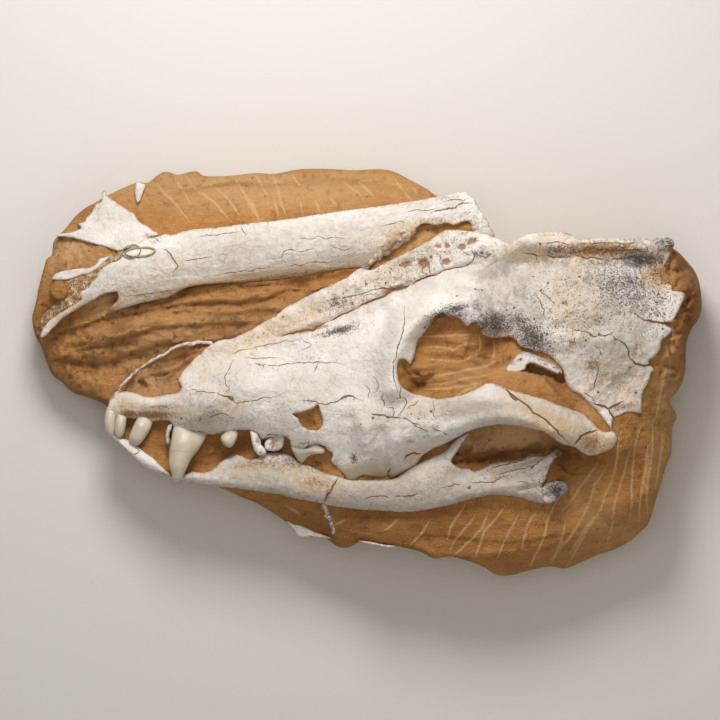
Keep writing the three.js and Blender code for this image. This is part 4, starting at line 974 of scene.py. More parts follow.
def crystal_rim():
    """A thin raised rim of yellow-green mineral that grew on the bone: waxy, slightly glossy."""
    material, tree, where, _ = new_tree("yellow_green_mineral")
    fine = add_node(tree, "ShaderNodeTexNoise", {
        "Vector": where, "Scale": size(1.5), "Detail": 4.0, "Roughness": 0.6})
    colour = stain(tree, linear("#a9a070"), fine, 0.4, 0.6, 1.0, "#6f6a4a")
    finish_surface(tree, colour, fine, [], 0.6, 0.4, {"Roughness": 0.45, "IOR": 1.55})
    return material


BONE = fossil_bone()
ROCK = sandstone()
ENAMEL = tooth_enamel()
SPONGY = spongy_bone()
MINERAL = crystal_rim()


# ------------------------------------------------------------------ shapes of the pieces

# Sides of the cells that the surfaces are made of, in mm.
BONE_CELL = 0.52
FINE_CELL = 0.4
ROCK_CELL = 0.85

# Levels above the floor, in mm.
EDGE_LEVEL = 27  # the rock at the edge of the block
OPEN_ROCK_RISE = 11  # how much higher the open rock lies in the middle
LOWEST_SKULL = 33.5  # the skull's surface never falls below this
COVER = 2.5  # how deep the rock lies below a bone that covers it

cranium_loop = through(CRANIUM_EDGE, closed=True)
window_loop = through(ORBIT_AND_TEMPLE_EDGE, closed=True)
canal_loop = through(INFRAORBITAL_EDGE, closed=True)
mandible_loop = through(MANDIBLE_EDGE, closed=True)
limb_loop = through(LIMB_BONE_EDGE, closed=True)
block_loop = through(BLOCK_EDGE, closed=True)

# Stations along a round bar: [x, y, z, half width, half depth].
LIMB_BONE_AXIS = [
    (-166, 17, 31, 9, 8), (-150, 36, 34, 14, 10), (-123, 47.5, 37, 17, 14), (-63, 59.5, 38, 15.3, 14),
    (-13, 66, 39, 15, 14), (27, 73, 39.5, 15.5, 14), (70, 80, 39, 16, 14),
]
CANINE_AXIS = [
    (-86.6, -22, 37, 6, 4), (-87, -26, 39.5, 7.6, 4.8), (-88.5, -30.6, 43.4, 8.4, 5.4),
    (-90.4, -35.6, 45.6, 7.5, 5.6), (-92.3, -39.8, 46.3, 6.3, 5.2), (-93.3, -43.5, 46.6, 5.4, 4.7),
    (-93.9, -46.9, 46.8, 4.6, 4), (-94.3, -51, 46.6, 3.2, 2.8), (-94.4, -53.6, 46.3, 2.2, 1.9),
    (-94.3, -55, 46, 1.2, 1.1),
]

# Rock that stands at a height of its own: [x, y], reach along and across, turn, height.
ROCK_FILLS = {
    "beside_the_limb_bone": (-60, 34, 95, 19, 12, 44.5),
    "between_limb_bone_and_brow": (24, 64, 45, 12, 24, 46.5),
    "limb_bones_bed": (-50, 62, 125, 30, 11, 41),
    "under_the_limb_bones_end": (52, 82, 30, 16, 10, 38),
    "under_the_crest": (112, 62, 62, 20, 0, 42),
    "under_the_muzzle": (-100, -45, 44, 16, -25, 34),
    "nostril": (-103, 4, 26, 12, 35, 38),
    "behind_the_incisors": (-105, -32, 22, 9, -20, 39),
    "beside_the_premolars": (-60, -38, 34, 9, 0, 46),
    "infraorbital_canal": (-28, -23, 11, 9, 0, 57),
    "before_the_carnassial": (-22, -44, 14, 8, 0, 50),
    "orbit": (38, 6, 30, 24, 0, 66),
    "temple": (84, -1, 36, 14, -22, 67),
    "under_the_arch": (70, -40, 38, 14, 0, 61.5),
    "below_the_ramus": (60, -74, 92, 34, 8, 49),
    "behind_the_jaw": (125, -45, 34, 42, 0, 51),
    "behind_the_skull": (150, 15, 18, 55, 0, 47),
}

# Hollows dug into the rock, each also painted darker as shade: depth, half width, line.
ROCK_HOLLOWS = {
    "under_the_arch": (4.5, 3.2, [(45, -43.5), (50, -42), (58, -41.5), (66, -40.5), (74, -40.5), (82, -38.5),
                                  (88, -38.5)]),
    "at_the_coronoid": (4, 3, [(45, -40), (50, -38)]),
    "behind_the_ear": (5, 2.4, [(81, 1.5), (86, 0.8), (92, -1.2), (98, -3)]),
    "beside_the_brow": (1.4, 2.6, [(9, 55.5), (16, 60.5), (22, 65), (26, 69.5), (34, 71)]),
    "along_the_limb_bone": (1.6, 2.4, [(-122, 29), (-104, 33), (-88, 39), (-60, 41.5), (-30, 45), (0, 50)]),
    "pocket_in_the_nostril": (3, 1.6, [(-113, -5), (-111, -7)]),
    "crease_in_the_nostril": (1.6, 1.2, [(-107, -2), (-100, -1)]),
    "pockets_in_the_orbit": (3, 1.4, [(23.5, -4), (26, -6), (28, -5.5)]),
    "pocket_by_the_lacrimal": (2.5, 1.3, [(25, 0), (27, -2)]),
    "behind_the_canine": (2, 5, [(-78, -44), (-66, -37), (-50, -36)]),
}

# Places where the rock stays well below the rim of the bone: [x, y, reaches, turn, how far below].
DEEP_CONTACTS = [
    (42, 24, 24, 9, 0, 5), (76, 16, 26, 6, -15, 4), (70, -31, 44, 8, 0, 3.5), (100, -36, 12, 8, 0, 4),
    (-60, -36, 46, 12, 0, 3), (-105, -30, 24, 10, -20, 3), (-60, 44, 80, 6, 11, 2), (20, -46, 26, 5, 30, 3),
    (20, -68, 110, 6, 0, 2.5), (95, -50, 8, 12, 0, 3), (116, -44, 12, 6, 0, 5), (-100, -2, 12, 10, 30, 2),
    (-28, -23, 8, 6, 0, 3), (145, 5, 8, 30, 0, 1.5),
]

# Rims that are broadly rounded: [x, y, reaches, turn, strength].
ROUNDED_RIMS = [
    (70, -24, 50, 14, 0, 1), (30, 24, 18, 10, 0, 0.8), (20, -10, 10, 16, 0, 0.7), (0, -66, 120, 9, 0, 1),
    (-70, -31, 40, 8, 0, 0.6), (-110, -12, 22, 6, 0, 0.8), (-90, -56, 50, 10, 0, 0.9), (60, -64, 40, 8, 0, 1),
]


def in_oval(x, y, at_x, at_y, along, across, turn):
    """Places measured along and across an oval, in units of its reaches."""
    angle = math.radians(turn)
    u = ((x - at_x) * math.cos(angle) + (y - at_y) * math.sin(angle)) / along
    v = ((y - at_y) * math.cos(angle) - (x - at_x) * math.sin(angle)) / across
    return u, v


def spots(x, y, ovals):
    """The strongest of several soft ovals: [x, y, reach along, reach across, turn, strength]."""
    total = np.zeros(x.shape)
    for *oval, strength in ovals:
        u, v = in_oval(x, y, *oval)
        total = np.maximum(total, strength * np.exp(-(u * u + v * v)))
    return total


def raise_lines(z, x, y, lines):
    """Adds soft ridges, or creases where the height is below 0: [height, half width, line] each."""
    for height, half, line in lines:
        line = through(line, step=2)
        here = near(x, y, line, half * 2.5)
        z[here] += height * np.exp(-((nearest(x[here], y[here], line)[0] / half) ** 2))


def bar_top(x, y, stations):
    """The upper side of a round bar."""
    away, _, _, (level, half, deep) = nearest(x, y, through(stations, step=5))
    return level + deep * np.sqrt(np.clip(1 - (0.88 * away / half) ** 2, 0.04, 1))


def rim_drop(x, y, depth):
    """How far the surface falls towards the rim of a bone."""
    broad = spots(x, y, ROUNDED_RIMS)
    return 0.9 * round_off(depth, 1.1) + broad * (2.2 * round_off(depth, 3.2) + 2 * round_off(depth, 8))


# Creases and swellings: height, half width, line. A crease has a height below 0.
CRANIUM_LINES = {
    "groove_between_the_nasals": (-1.8, 1.3, [(-43, 17.5), (-33, 20.5), (-19, 25), (-8, 30), (4, 35),
                                              (13, 40), (24, 44.5), (34, 48), (47, 52.5), (54, 53.5)]),
    "step_of_the_right_roof": (-1.5, 5, [(-60, 16), (-40, 24), (-20, 32), (0, 40), (20, 49), (40, 57)]),
    "crease_on_the_muzzle": (-1.0, 4, [(-92, -9), (-75, -8), (-66, -12), (-56, -14), (-46, -13)]),
    "root_of_the_canine": (4.2, 7.5, [(-89, -30), (-85, -24), (-80, -17)]),
    "upper_root_of_the_canine": (1.4, 6, [(-78, -15), (-70, -8)]),
    "hollow_behind_the_canine": (-1.5, 8, [(-60, -26), (-52, -18), (-46, -10)]),
    "root_of_the_carnassial": (3.2, 4.5, [(-1, -50), (0, -38), (-1, -27)]),
    "groove_behind_the_carnassial": (-2.4, 3, [(8.5, -50), (8.5, -38), (8, -30)]),
    "hollow_of_the_carnassial": (-2.6, 4, [(-9, -44), (-9.5, -34), (-8, -25)]),
    "root_of_the_molar": (1.6, 4, [(15, -46), (14.5, -34)]),
    "lip_of_the_arch": (1.2, 3, [(34, -33), (46, -27), (58, -23.5), (68, -22), (80, -24), (92, -30)]),
    "hollow_of_the_arch": (-1.4, 4, [(40, -24), (52, -19.5), (66, -17.5), (78, -19.5), (90, -24)]),
    "rim_before_the_orbit": (1.0, 3, [(13, -8), (12.5, 2), (17, 14), (24, 24), (33, 30)]),
    "hollow_behind_the_brow": (-3.0, 9, [(60, 26), (70, 24), (80, 22)]),
    "temporal_line": (0.8, 4, [(68, 57), (60, 50), (55, 42), (53, 35)]),
    "hollow_below_the_crest": (-2.2, 5, [(78, 58), (92, 57), (112, 56), (134, 56)]),
    "brow_hump": (1.5, 6, [(82, 67), (98, 68)]),
    "fold_of_the_squamosal": (1.2, 5, [(92, 14), (104, 17), (114, 17), (122, 18)]),
    "valley_of_the_squamosal": (-1.2, 4, [(96, 22), (106, 21), (118, 23)]),
}

# Round dents: [x, y, reaches, turn, height].
CRANIUM_SPOTS = [
    (20, 54, 3.6, 1.9, 14, -1.8), (29, 54.3, 2.8, 2.5, 0, -2.4), (40, 55, 2.5, 1.7, 0, -2),
    (36, 63, 1.8, 1.3, 0, -1.4), (40.5, 63, 1.8, 1.5, 0, -1.6), (48, 62.5, 2.2, 1.6, 0, -2),
    (54, 66, 3, 1.5, 20, -1.5), (-57, 7.5, 1.4, 1.4, 0, -1.6), (-36.5, -5.5, 1.5, 1.5, 0, -1.4),
    (99, 33.5, 2.2, 2.2, 0, -1.3), (101.5, -22.5, 1, 1, 0, -1), (-65.5, -3, 0.9, 0.9, 0, -1.2),
    (72, 48, 3.5, 2.5, 0, -1.2),
]


def cranium_height(x, y, depth):
    """The skull's surface, for places that lie depth mm inside its rim."""
    z = melted(x, y, CRANIUM_FORMS)
    raise_lines(z, x, y, CRANIUM_LINES.values())
    for *oval, height in CRANIUM_SPOTS:
        z += np.sign(height) * spots(x, y, [(*oval, abs(height))])
    rough = spots(x, y, [(0, 42, 70, 12, 24, 1.2), (110, 40, 50, 30, 0, 0.9), (120, 62, 40, 6, 0, 2),
                         (-90, -24, 24, 10, 0, 0.5), (125, -5, 16, 16, 0, 1.2), (10, -36, 30, 16, 0, 0.5)])
    z += (0.45 + 0.3 * rough) * lumps(x, y, 12, 3) + (0.14 + 0.35 * rough) * lumps(x, y, 3.2, 5)
    z += (0.04 + 0.12 * rough) * lumps(x, y, 1.5, 7, 2)
    return np.maximum(z - rim_drop(x, y, depth), LOWEST_SKULL)


# Thin ridges that fan out over the rear of the jaw, and the dents along its upper edge.
MANDIBLE_LINES = [
    (-0.9, 1.3, [(62, -50), (74, -47), (88, -41.5)]), (0.9, 1.2, [(60, -52), (76, -49), (94, -41)]),
    (-0.9, 1.2, [(64, -54), (78, -52), (92, -46)]), (0.7, 1.1, [(68, -57), (82, -55), (93, -50)]),
    (-0.8, 1.1, [(76, -59), (88, -57), (94, -55)]), (-1.4, 2.2, [(-52, -45), (-48, -49)]),
    (-1.2, 2.0, [(-38, -44), (-35, -48)]), (-1.2, 1.8, [(-28, -45), (-26, -49)]),
    (0.9, 2.0, [(-62, -46), (-44, -47)]),
]


def mandible_height(x, y, depth):
    """The lower jaw's surface."""
    z = melted(x, y, MANDIBLE_FORMS)
    raise_lines(z, x, y, MANDIBLE_LINES)
    # the hollow of the ramus, and the dip at the break
    z -= 3.0 * np.exp(-(((x - 76) / 20) ** 2 + ((y + 49) / 6) ** 2))
    z -= 1.2 * np.exp(-(((x + 22) / 5) ** 2)) * ease(depth, 0, 6)
    rough = spots(x, y, [(-36, -48, 30, 9, 0, 1), (80, -50, 22, 14, 0, 1)])
    z += (0.35 + 0.3 * rough) * lumps(x, y, 9, 13) + (0.1 + 0.3 * rough) * lumps(x, y, 2.8, 15)
    return z - rim_drop(x, y, depth)


def limb_height(x, y, depth):
    """The limb bone's surface."""
    z = bar_top(x, y, LIMB_BONE_AXIS)
    worn = spots(x, y, [(50, 78, 20, 14, 0, 1), (-120, 50, 24, 14, 0, 0.7)])
    z += 0.3 * lumps(x, y, 5, 23, turn=8, stretch=5) + (0.08 + 0.25 * worn) * lumps(x, y, 2, 25)
    # a thin outer layer that has flaked off in long scales
    scale = lumps(x, y, 9, 27, turn=9, stretch=4)
    return z - 0.35 * ease(scale, 0.1, 0.16) - 0.8 * round_off(depth, 1.0)


BONES_IN_ROCK = (
    ([cranium_loop, window_loop, canal_loop], cranium_height),
    ([mandible_loop], mandible_height),
    ([limb_loop], limb_height),
)


def rock_level(x, y, depth):
    """The broad height of the rock."""
    open_rock = EDGE_LEVEL + OPEN_ROCK_RISE * ease(depth, 0, 42)
    level = open_rock
    for *oval, height in ROCK_FILLS.values():
        share = 1 - ease(np.hypot(*in_oval(x, y, *oval)), 0.45, 1.15)
        level = np.maximum(level, open_rock + (height - open_rock) * share)
    return level


# Ledges in the rock, each with a steep upper side: depth, reach below it, line.
ROCK_LEDGES = {
    "trough_1": (3.0, 7, [(-153, 20), (-145, 21.7), (-135, 25), (-123, 27.5), (-111, 30), (-98, 32.5),
                          (-86, 34), (-73, 34.5), (-61, 34.5), (-50, 36.5), (-38, 41)]),
    "trough_2": (2.6, 6, [(-129, 14.6), (-116, 18.5), (-104, 21.7), (-91.5, 22.5), (-76, 23.6), (-63, 24),
                          (-53, 23.8)]),
    "trough_3": (2.0, 5, [(-92, 30), (-82, 29), (-70, 28.5), (-58, 29.5), (-46, 31)]),
    "trough_4": (2.4, 7, [(-154, 6), (-143, 4), (-131, 4.5), (-120, 8), (-108, 12), (-98, 15)]),
    "trough_5": (1.8, 4, [(-150, 13), (-140, 12.5), (-128, 12), (-120, 14)]),
    "upper_field": (1.2, 5, [(-92, 90), (-70, 94), (-50, 93), (-24, 96), (0, 95), (22, 90)]),
    "below_the_jaw_1": (1.0, 6, [(30, -82), (52, -84), (74, -86), (96, -82)]),
    "behind_the_skull": (1.8, 6, [(152, 42), (160, 30), (166, 12)]),
    "orbit_1": (1.2, 3, [(20, 12), (30, 15), (42, 14), (52, 11)]),
    "orbit_2": (1.2, 3, [(17, 5), (30, 8), (44, 7), (58, 3)]),
    "orbit_3": (1.2, 3, [(18, -2), (32, 1), (46, 0), (60, -4)]),
    "orbit_4": (1.0, 3, [(22, -8), (34, -5.5), (48, -6), (60, -10)]),
    "temple": (1.2, 3, [(62, 2), (72, 6), (84, 5), (96, 0)]),
}


def rock_height(x, y):
    """The height of the rock, and how much painted shade lies in its hollows, creases, pits and below its
    ledges.
    """
    depth = np.maximum(depth_inside(x, y, block_loop)[0], 0)
    z = rock_level(x, y, depth)
    # it climbs to meet the bones just below their rims, except where it is cut away deeper
    for loops, height in BONES_IN_ROCK[:2]:
        for loop in loops:
            rim = height(loop[:, 0], loop[:, 1], np.zeros(len(loop)))
            away, _, _, (level,) = nearest(x, y, np.column_stack([loop, rim]), closed=True)
            share = np.exp(-((away / 11) ** 2))
            below = 0.9 + spots(x, y, DEEP_CONTACTS)
            z += share * (level - below - z)
    trim = ease(depth, 0, 5)
    # long folds run beside the limb bone; elsewhere the stone is cut in shallow scoops
    folded = ease(1 - np.hypot((x + 75) / 110, (y - 22) / 34), 0, 0.35)
    bent = 4 * lumps(x, y, 26, 30, 2)
    folds = lumps(x, y + bent, 9, 31, 2, turn=11, stretch=6)
    thin = lumps(x, y + bent, 3.8, 45, 3, turn=11, stretch=5)
    z += folded * trim * (2.0 * folds + 1.0 * thin)
    z += (1 - 0.6 * folded) * 0.9 * lumps(x, y, 17, 33, 2)
    scoops = lumps(x, y, 7, 34, 2, turn=-62, stretch=2.2)
    z += (1 - folded) * 0.35 * scoops
    # flat flakes broken off below the crest and the nape and along the upper edge
    flaked = spots(x, y, [(158, 30, 14, 50, 0, 1.3), (-140, 60, 26, 20, 40, 0.6), (-150, 5, 20, 16, 0, 0.7),
                          (-104, -2, 16, 8, 20, 0.6)])
    z += trim * flaked * (4.5 * np.abs(lumps(x, y, 9, 44, 2, turn=70, stretch=1.8))
                          + 3.4 * np.abs(lumps(x, y, 4, 46, 2, turn=20)) - 2.4)
    # painted shade: darker in the troughs of the folds and among the flakes
    hollow_shade = folded * (0.2 * ease(-folds, 0.1, 0.8) + 0.45 * ease(-thin, 0.35, 0.8)) + 0.3 * flaked * ease(
        lumps(x, y, 5, 47, 2, turn=80, stretch=3), 0.3, 0.8)
    for deep, below, line in ROCK_LEDGES.values():
        line = through(line, step=3)
        here = near(x, y, line, below * 3)
        away, _, step_y, _ = nearest(x[here], y[here], line)
        reach = np.where(step_y > 0, below, 1.0) * (1 + 0.35 * lumps(x[here], y[here], 7, 40, 2))
        share = np.exp(-(away / reach) ** 2)
        z[here] -= deep * share
        # painted shade below each ledge's steep side
        shade = 0.3 * deep / 2.4 * np.exp(-(away / np.minimum(reach, 2.2)) ** 2)
        hollow_shade[here] = np.maximum(hollow_shade[here], shade)
    rough = 0.5 + 0.5 * folded + 0.5 * spots(x, y, [(150, 45, 30, 30, 0, 1), (-140, 40, 30, 40, 0, 0.8)])
    crumbs = rough * (0.4 * lumps(x, y, 3.4, 35) + 0.25 * lumps(x, y, 1.7, 36, 2))
    pits = -0.9 * rough * ease(lumps(x, y, 2.4, 39, 2), 0.55, 0.9)
    z += crumbs + pits
    # painted shade in the pits
    hollow_shade = np.maximum(hollow_shade, np.clip(-0.6 * pits, 0, 0.5))
    for deep, half, line in ROCK_HOLLOWS.values():
        line = through(line, step=3)
        here = near(x, y, line, half * 2)
        away = nearest(x[here], y[here], line)[0]
        share = 1 - ease(away / half + 0.4 * lumps(x[here], y[here], 3.2, 41), 0.3, 1.05)
        z[here] -= deep * share
        # painted shade in the dug hollow, darker the deeper it is
        hollow_shade[here] = np.maximum(hollow_shade[here], 0.6 * share * min(1, deep / 7))
    for loops, height in BONES_IN_ROCK:
        inside = depth_of(x, y, loops)[0]
        under = inside > 0.2
        z[under] = np.minimum(z[under], height(x[under], y[under], inside[under]) - COVER)
    # the broken edge: crisp in most places, worn back where the block is bevelled
    bevel = spots(x, y, BEVELLED_EDGES)
    crisp = np.clip(2.2 + 1.6 * lumps(x, y, 9, 43), 0.8, 5)
    z -= 2.4 * round_off(depth, crisp) + bevel * 10 * round_off(depth, 11)
    return z, hollow_shade


# Where the edge of the block is bevelled: [x, y], reaches, turn, strength.
BEVELLED_EDGES = [
    (-140, -8, 34, 12, -35, 1), (0, -92, 60, 8, -18, 0.5), (60, -100, 60, 8, 8, 0.4), (160, 45, 10, 40, 0, 0.7),
    (-150, 60, 20, 20, 0, 0.4), (-60, 100, 80, 6, 0, 0.3),
]


# ------------------------------------------------------------------ painting

CLEAR = 9.0  # a step so long that no crack shows
LINE_REACH = 4  # how far from a line, in mm, the step to it is stored
BROAD_HALF, HAIR_HALF, FAINT_HALF = 0.45, 0.26, 0.2  # half widths of the cracks, in mm
STROKE_HALF = 0.75


def jagged(line, seed, wander=0.45):
    """A line with the small wanderings of a crack."""
    line = through(line, step=0.9)[:, :2]
    x, y = line[:, 0], line[:, 1]
    return line + wander * np.column_stack([lumps(x, y, 2.2, seed, 2), lumps(x, y, 2.2, seed + 1, 2)])


def draw(piece, name, lines, cell, wander=0.45):
    """Stores the step to the nearest of several lines, in units of its half width, which tapers to its ends."""
    co = places(piece)
    clear = 0.75 * cell
    x, y = co[:, 0], co[:, 1]
    best = np.full(len(co), CLEAR)
    steps = np.zeros((len(co), 3))
    steps[:, 2] = CLEAR
    for seed, (half, line) in enumerate(lines):
        line = jagged(line, 100 + 2 * seed, wander)
        here = np.flatnonzero(near(x, y, line, LINE_REACH))
        if not len(here):
            continue
        taper = half * np.clip(1.6 * np.sin(math.pi * np.linspace(0, 1, len(line))), 0.3, 1)
        away, step_x, step_y, (width,) = nearest(x[here], y[here], np.column_stack([line, taper]))
        closer = away / width < best[here]
        spot = here[closer]
        width = width[closer]
        best[spot] = away[closer] / width
        steps[spot, 0] = step_x[closer] / width
        steps[spot, 1] = step_y[closer] / width
        steps[spot, 2] = 2 * np.maximum(0, away[closer] - clear) / width
    paint(piece, name, steps)


# Stains as soft ovals, and grey patches that are partly painted shade: [x, y], reaches, turn, strength.
MANGANESE_CLOUDS = [
    # the pillar behind the orbit and the hollow behind the brow
    (64, 25, 13, 6, -8, 0.8), (57, 23, 5, 6, 0, 0.8), (76, 26, 9, 4, -25, 0.7), (84, 16, 10, 7, -45, 0.85),
    (90, 6, 9, 4, -20, 0.5), (55, 33, 4, 5, 0, 0.7), (64, 36, 9, 4, 10, 0.4), (48, 28, 9, 2.4, 0, 0.7),
    (78, 40, 5, 8, -30, 0.45), (84, 34, 8, 2, -60, 0.5), (36, 27, 7, 2.6, 30, 1.1), (45, 31.5, 8, 3, 8, 0.9),
    (58, 59, 9, 4, -5, 0.7), (-14, 20.5, 12, 2, 14, 0.9), (-14, 35, 10, 3.5, 20, 0.6),
    # below the crest and over the braincase
    (138, 56, 16, 5, 0, 1.0), (118, 54, 16, 4, -4, 0.6), (96, 55, 12, 3, 0, 0.5), (94, 60, 4, 3, 0, 0.8),
    (122, 44, 20, 9, 0, 0.55), (104, 40, 12, 5, 15, 0.4), (134, 36, 12, 8, 0, 0.5), (110, 26, 14, 3, -10, 0.4),
    (98, 14, 10, 6, -20, 0.4), (126, 0, 12, 8, 0, 0.15), (70, 50, 14, 3, 30, 0.4),
    # the face, the roof, the jaw
    (-30, 6, 10, 2, 10, 0.3), (-8, 23, 8, 2, 25, 0.4), (-47, 13, 10, 2, 0, 0.25), (24, 46, 20, 3, 25, 0.3),
    (0, 38, 30, 3, 28, 0.4), (26, 60, 12, 4, 25, 0.45), (44, 66, 10, 4, 0, 0.4), (95, -59, 7, 6, 0, 0.95),
    (-26, -50, 5, 3, 0, 0.4), (96, -41, 4, 3, 0, 0.8), (147, 65, 5, 3, 0, 0.8), (80, -50, 14, 3, 10, 0.25),
]
BLACK_GRAINS = [
    (82, 18, 16, 11, -40, 1.05), (128, 42, 24, 18, -10, 0.85), (122, -4, 18, 12, 0, 0.3),
    (66, 24, 18, 9, 0, 0.85), (144, 40, 12, 24, 0, 0.75), (97, 44, 20, 12, 0, 0.45), (102, 26, 36, 20, 0, 0.5),
    (92, -57, 12, 8, 0, 0.8), (20, 52, 46, 8, 25, 0.5), (75, -50, 26, 8, 0, 0.35), (-36, -46, 22, 5, -6, 0.65),
    (-20, 8, 60, 3, 12, 0.25), (-100, 63, 20, 8, 0, 0.1), (30, -20, 14, 6, 0, 0.25), (110, 60, 36, 5, 0, 0.6),
    (-30, -23, 60, 5, 0, 0.2), (88, 56, 12, 6, 0, 0.35), (-84, -22, 16, 8, 30, 0.3), (4, -44, 14, 8, 0, 0.25),
    (40, 26, 18, 3, 20, 0.5), (-60, 44, 80, 3, 10, 0.2), (50, 78, 12, 10, 0, 0.25), (-6, -43, 2.2, 3.2, 0, 0.9),
    (-30.5, -35.5, 3, 1.2, 0, 1), (-18, -76, 3, 9, 0, 1.2), (40, 29, 12, 5, 20, 0.9),
    (-14, 20.5, 14, 3, 14, 0.8), (-14, 35, 12, 5, 20, 0.8), (151, 64, 4, 3, 0, 1.2),
]
RUST = [
    # the crest
    (119, 61, 26, 4, 0, 1.25), (96, 61, 10, 2.4, 0, 0.9), (86, 55, 8, 4, 0, 0.6), (146, 50, 6, 8, 0, 1.0),
    (102, 68.5, 14, 1.2, 0, 0.7), (152, 62.5, 3, 3, 0, 1.0), (130, 66, 16, 1.0, 0, 0.7),
    # sinuses opened in the right half of the forehead
    (20, 54, 3.4, 1.7, 14, 1.6), (29, 54.3, 2.6, 2.4, 0, 2.2), (40, 55, 2.2, 1.4, 0, 2.2),
    (36, 63, 1.6, 1.1, 0, 1.5), (40.5, 63, 1.6, 1.3, 0, 1.7), (48, 62.5, 2, 1.6, 0, 2.2),
    (53, 65.5, 3, 1.5, 20, 1.8), (10, 62, 40, 4, 25, 0.35), (14, 41.5, 6, 1.6, 20, 1.7),
    (-27, 21.5, 9, 1.4, 14, 1.4), (19, 70, 18, 3, 12, 0.5), (34, 75.5, 14, 1.8, 0, 0.7), (52, 73, 6, 4, 0, 0.9),
    (12, 63, 12, 3, 40, 1.0), (153, 61, 3, 3, 0, 1.3), (-5, 34, 60, 3, 25, 0.4), (-46, 21, 30, 3, 20, 0.5),
    (18, 44, 30, 3, 22, 0.45), (36, 57, 16, 3, 20, 0.4),
    # the muzzle and the cheek
    (-68, -6, 4, 3, 0, 0.4), (-50, -15, 30, 1.5, 0, 0.45), (-10, -14, 12, 1.5, 0, 0.4), (10, -21, 6, 2, 0, 0.6),
    (-119, -21, 4, 2, 0, 1.7), (-107, -21.5, 10, 2, 0, 1.4), (-102, -17.5, 8, 1.6, 0, 0.9),
    (-56, -46, 16, 3, 6, 0.8), (-36, -46, 10, 3, -10, 0.7), (-86, -11, 8, 1.5, 10, 0.5),
    (-127, -12, 3, 2, 0, 0.8), (-94, -8, 3, 4, 0, 0.5), (-65, -29, 3, 1.2, 0, 0.8), (-76, -14, 6, 3, 0, 0.35),
    (27, -22, 5, 2, 30, 0.5), (33, -29, 7, 2.4, 35, 0.55), (22, -34, 2, 2, 0, 0.7), (40, -15, 3, 2, 60, 0.5),
    # the back of the skull
    (66, 21, 10, 4, 0, 0.7), (112, -35, 8, 5, -20, 0.95), (-129, 30.5, 4, 2.5, 30, 1.0),
    (-126, 36, 5, 3, 30, 0.8), (132, -8, 6, 10, 0, 0.35), (136, 40, 14, 6, -60, 0.3), (112.5, 4, 5, 4, 40, 1.0),
    (102, 14, 3, 3, 0, 0.9), (128, -17, 10, 2.5, 10, 0.8), (134, 12, 2, 8, -20, 0.8),
    (99, 34, 1.4, 1.4, 0, 1.2), (112, -14, 5, 5, 0, 0.3), (125, 30, 6, 1.6, -30, 0.6),
    # the ear fragment
    (86, 9.5, 4, 2, 10, 0.7), (73, 4.5, 3, 1.5, 30, 0.8), (89, 4, 4, 2, 0, 0.6), (95, 2, 2, 1.5, 0, 0.8),
    # the jaw
    (-26, -55, 7, 3, -10, 0.8), (-20, -49, 2, 3, 0, 0.8), (-19, -61, 1.6, 4, 0, 0.9), (80, -56, 3, 1.5, 0, 0.8),
    (-48, -58, 2.4, 1.4, 0, 0.6), (-54.5, -34, 1.2, 3.5, 0, 0.9), (-46, -36, 2.4, 2.6, 0, 1.1),
    (-6, -43, 1.8, 3, 0, 0.9), (-52.5, -40, 1.2, 1.6, 0, 0.8), (-44, -41, 8, 1.2, 0, 0.6),
    # the limb bone and the fragments
    (-105, 66, 5, 2, 0, 0.7), (50, 73, 12, 3, 10, 0.6), (-86, 62, 6, 2, 0, 0.3), (-60, 45, 90, 2, 8, 0.8),
    (-108, 68, 5, 1.6, 0, 0.9), (40, 87, 12, 1.5, 6, 0.5), (-118, 42, 6, 3, 20, 0.3),
]
WARM = [
    (-40, 24, 60, 8, 22, 0.5), (5, 48, 50, 10, 25, 0.35), (104, 34, 14, 24, 0, 0.35),
    (-106, -21, 18, 4, 0, 0.8), (-106, -4, 20, 4, 10, 0.4), (116, -37, 11, 6, 0, 1.2),
    (94, -26, 28, 9, -25, 0.7), (-128, 31, 6, 4, 30, 1.3), (-84, 4, 14, 10, 0, 0.3), (-66, -16, 10, 6, 0, 0.35),
    (96, 60, 30, 6, 0, 0.6), (132, -6, 12, 18, 0, 0.35), (-26, -54, 16, 6, 0, 0.5), (24, -42, 12, 6, 0, 0.3),
    (118, 60, 26, 5, 0, 0.9), (22, 69, 20, 6, 8, 0.7), (27, -20, 12, 6, 0, 0.2), (122, -3, 18, 16, 0, 0.35),
    (146, 50, 8, 9, 0, 1.3), (114, -33, 8, 5, 0, 0.8), (-120, -17, 10, 4, 0, 0.7), (0, -50, 70, 5, 0, 0.3),
    (-150, 30, 14, 6, 30, 0.5), (92, 67, 16, 4, 0, 0.4), (-100, 50, 30, 8, 10, 0.2), (-60, 47, 80, 4, 8, 0.6),
]
# Grey patches on the bone: partly its own grey mottling, partly painted shade on the lower sides of the jaw,
# the maxilla, the arch and the limb bone.
GREY_AND_PAINTED_SHADE = [
    (-20, -26, 70, 10, 0, 0.25), (0, -60, 130, 10, 0, 0.75), (-60, 48, 90, 8, 9, 0.5), (50, -18, 24, 5, 0, 0.9),
    (84, 42, 26, 16, 0, 0.45), (-80, -20, 14, 12, 40, 0.6), (40, -14, 10, 12, 0, 0.4),
    (-50, -50, 28, 7, 0, 0.95), (62, 44, 7, 14, 0, 0.5), (-60, 62, 90, 8, 9, 0.35), (86, -24, 26, 8, -25, 0.5),
    (8, -34, 14, 12, 0, 0.15), (118, 28, 24, 18, 0, 0.5), (25, -19, 10, 7, 0, 0.5),
]


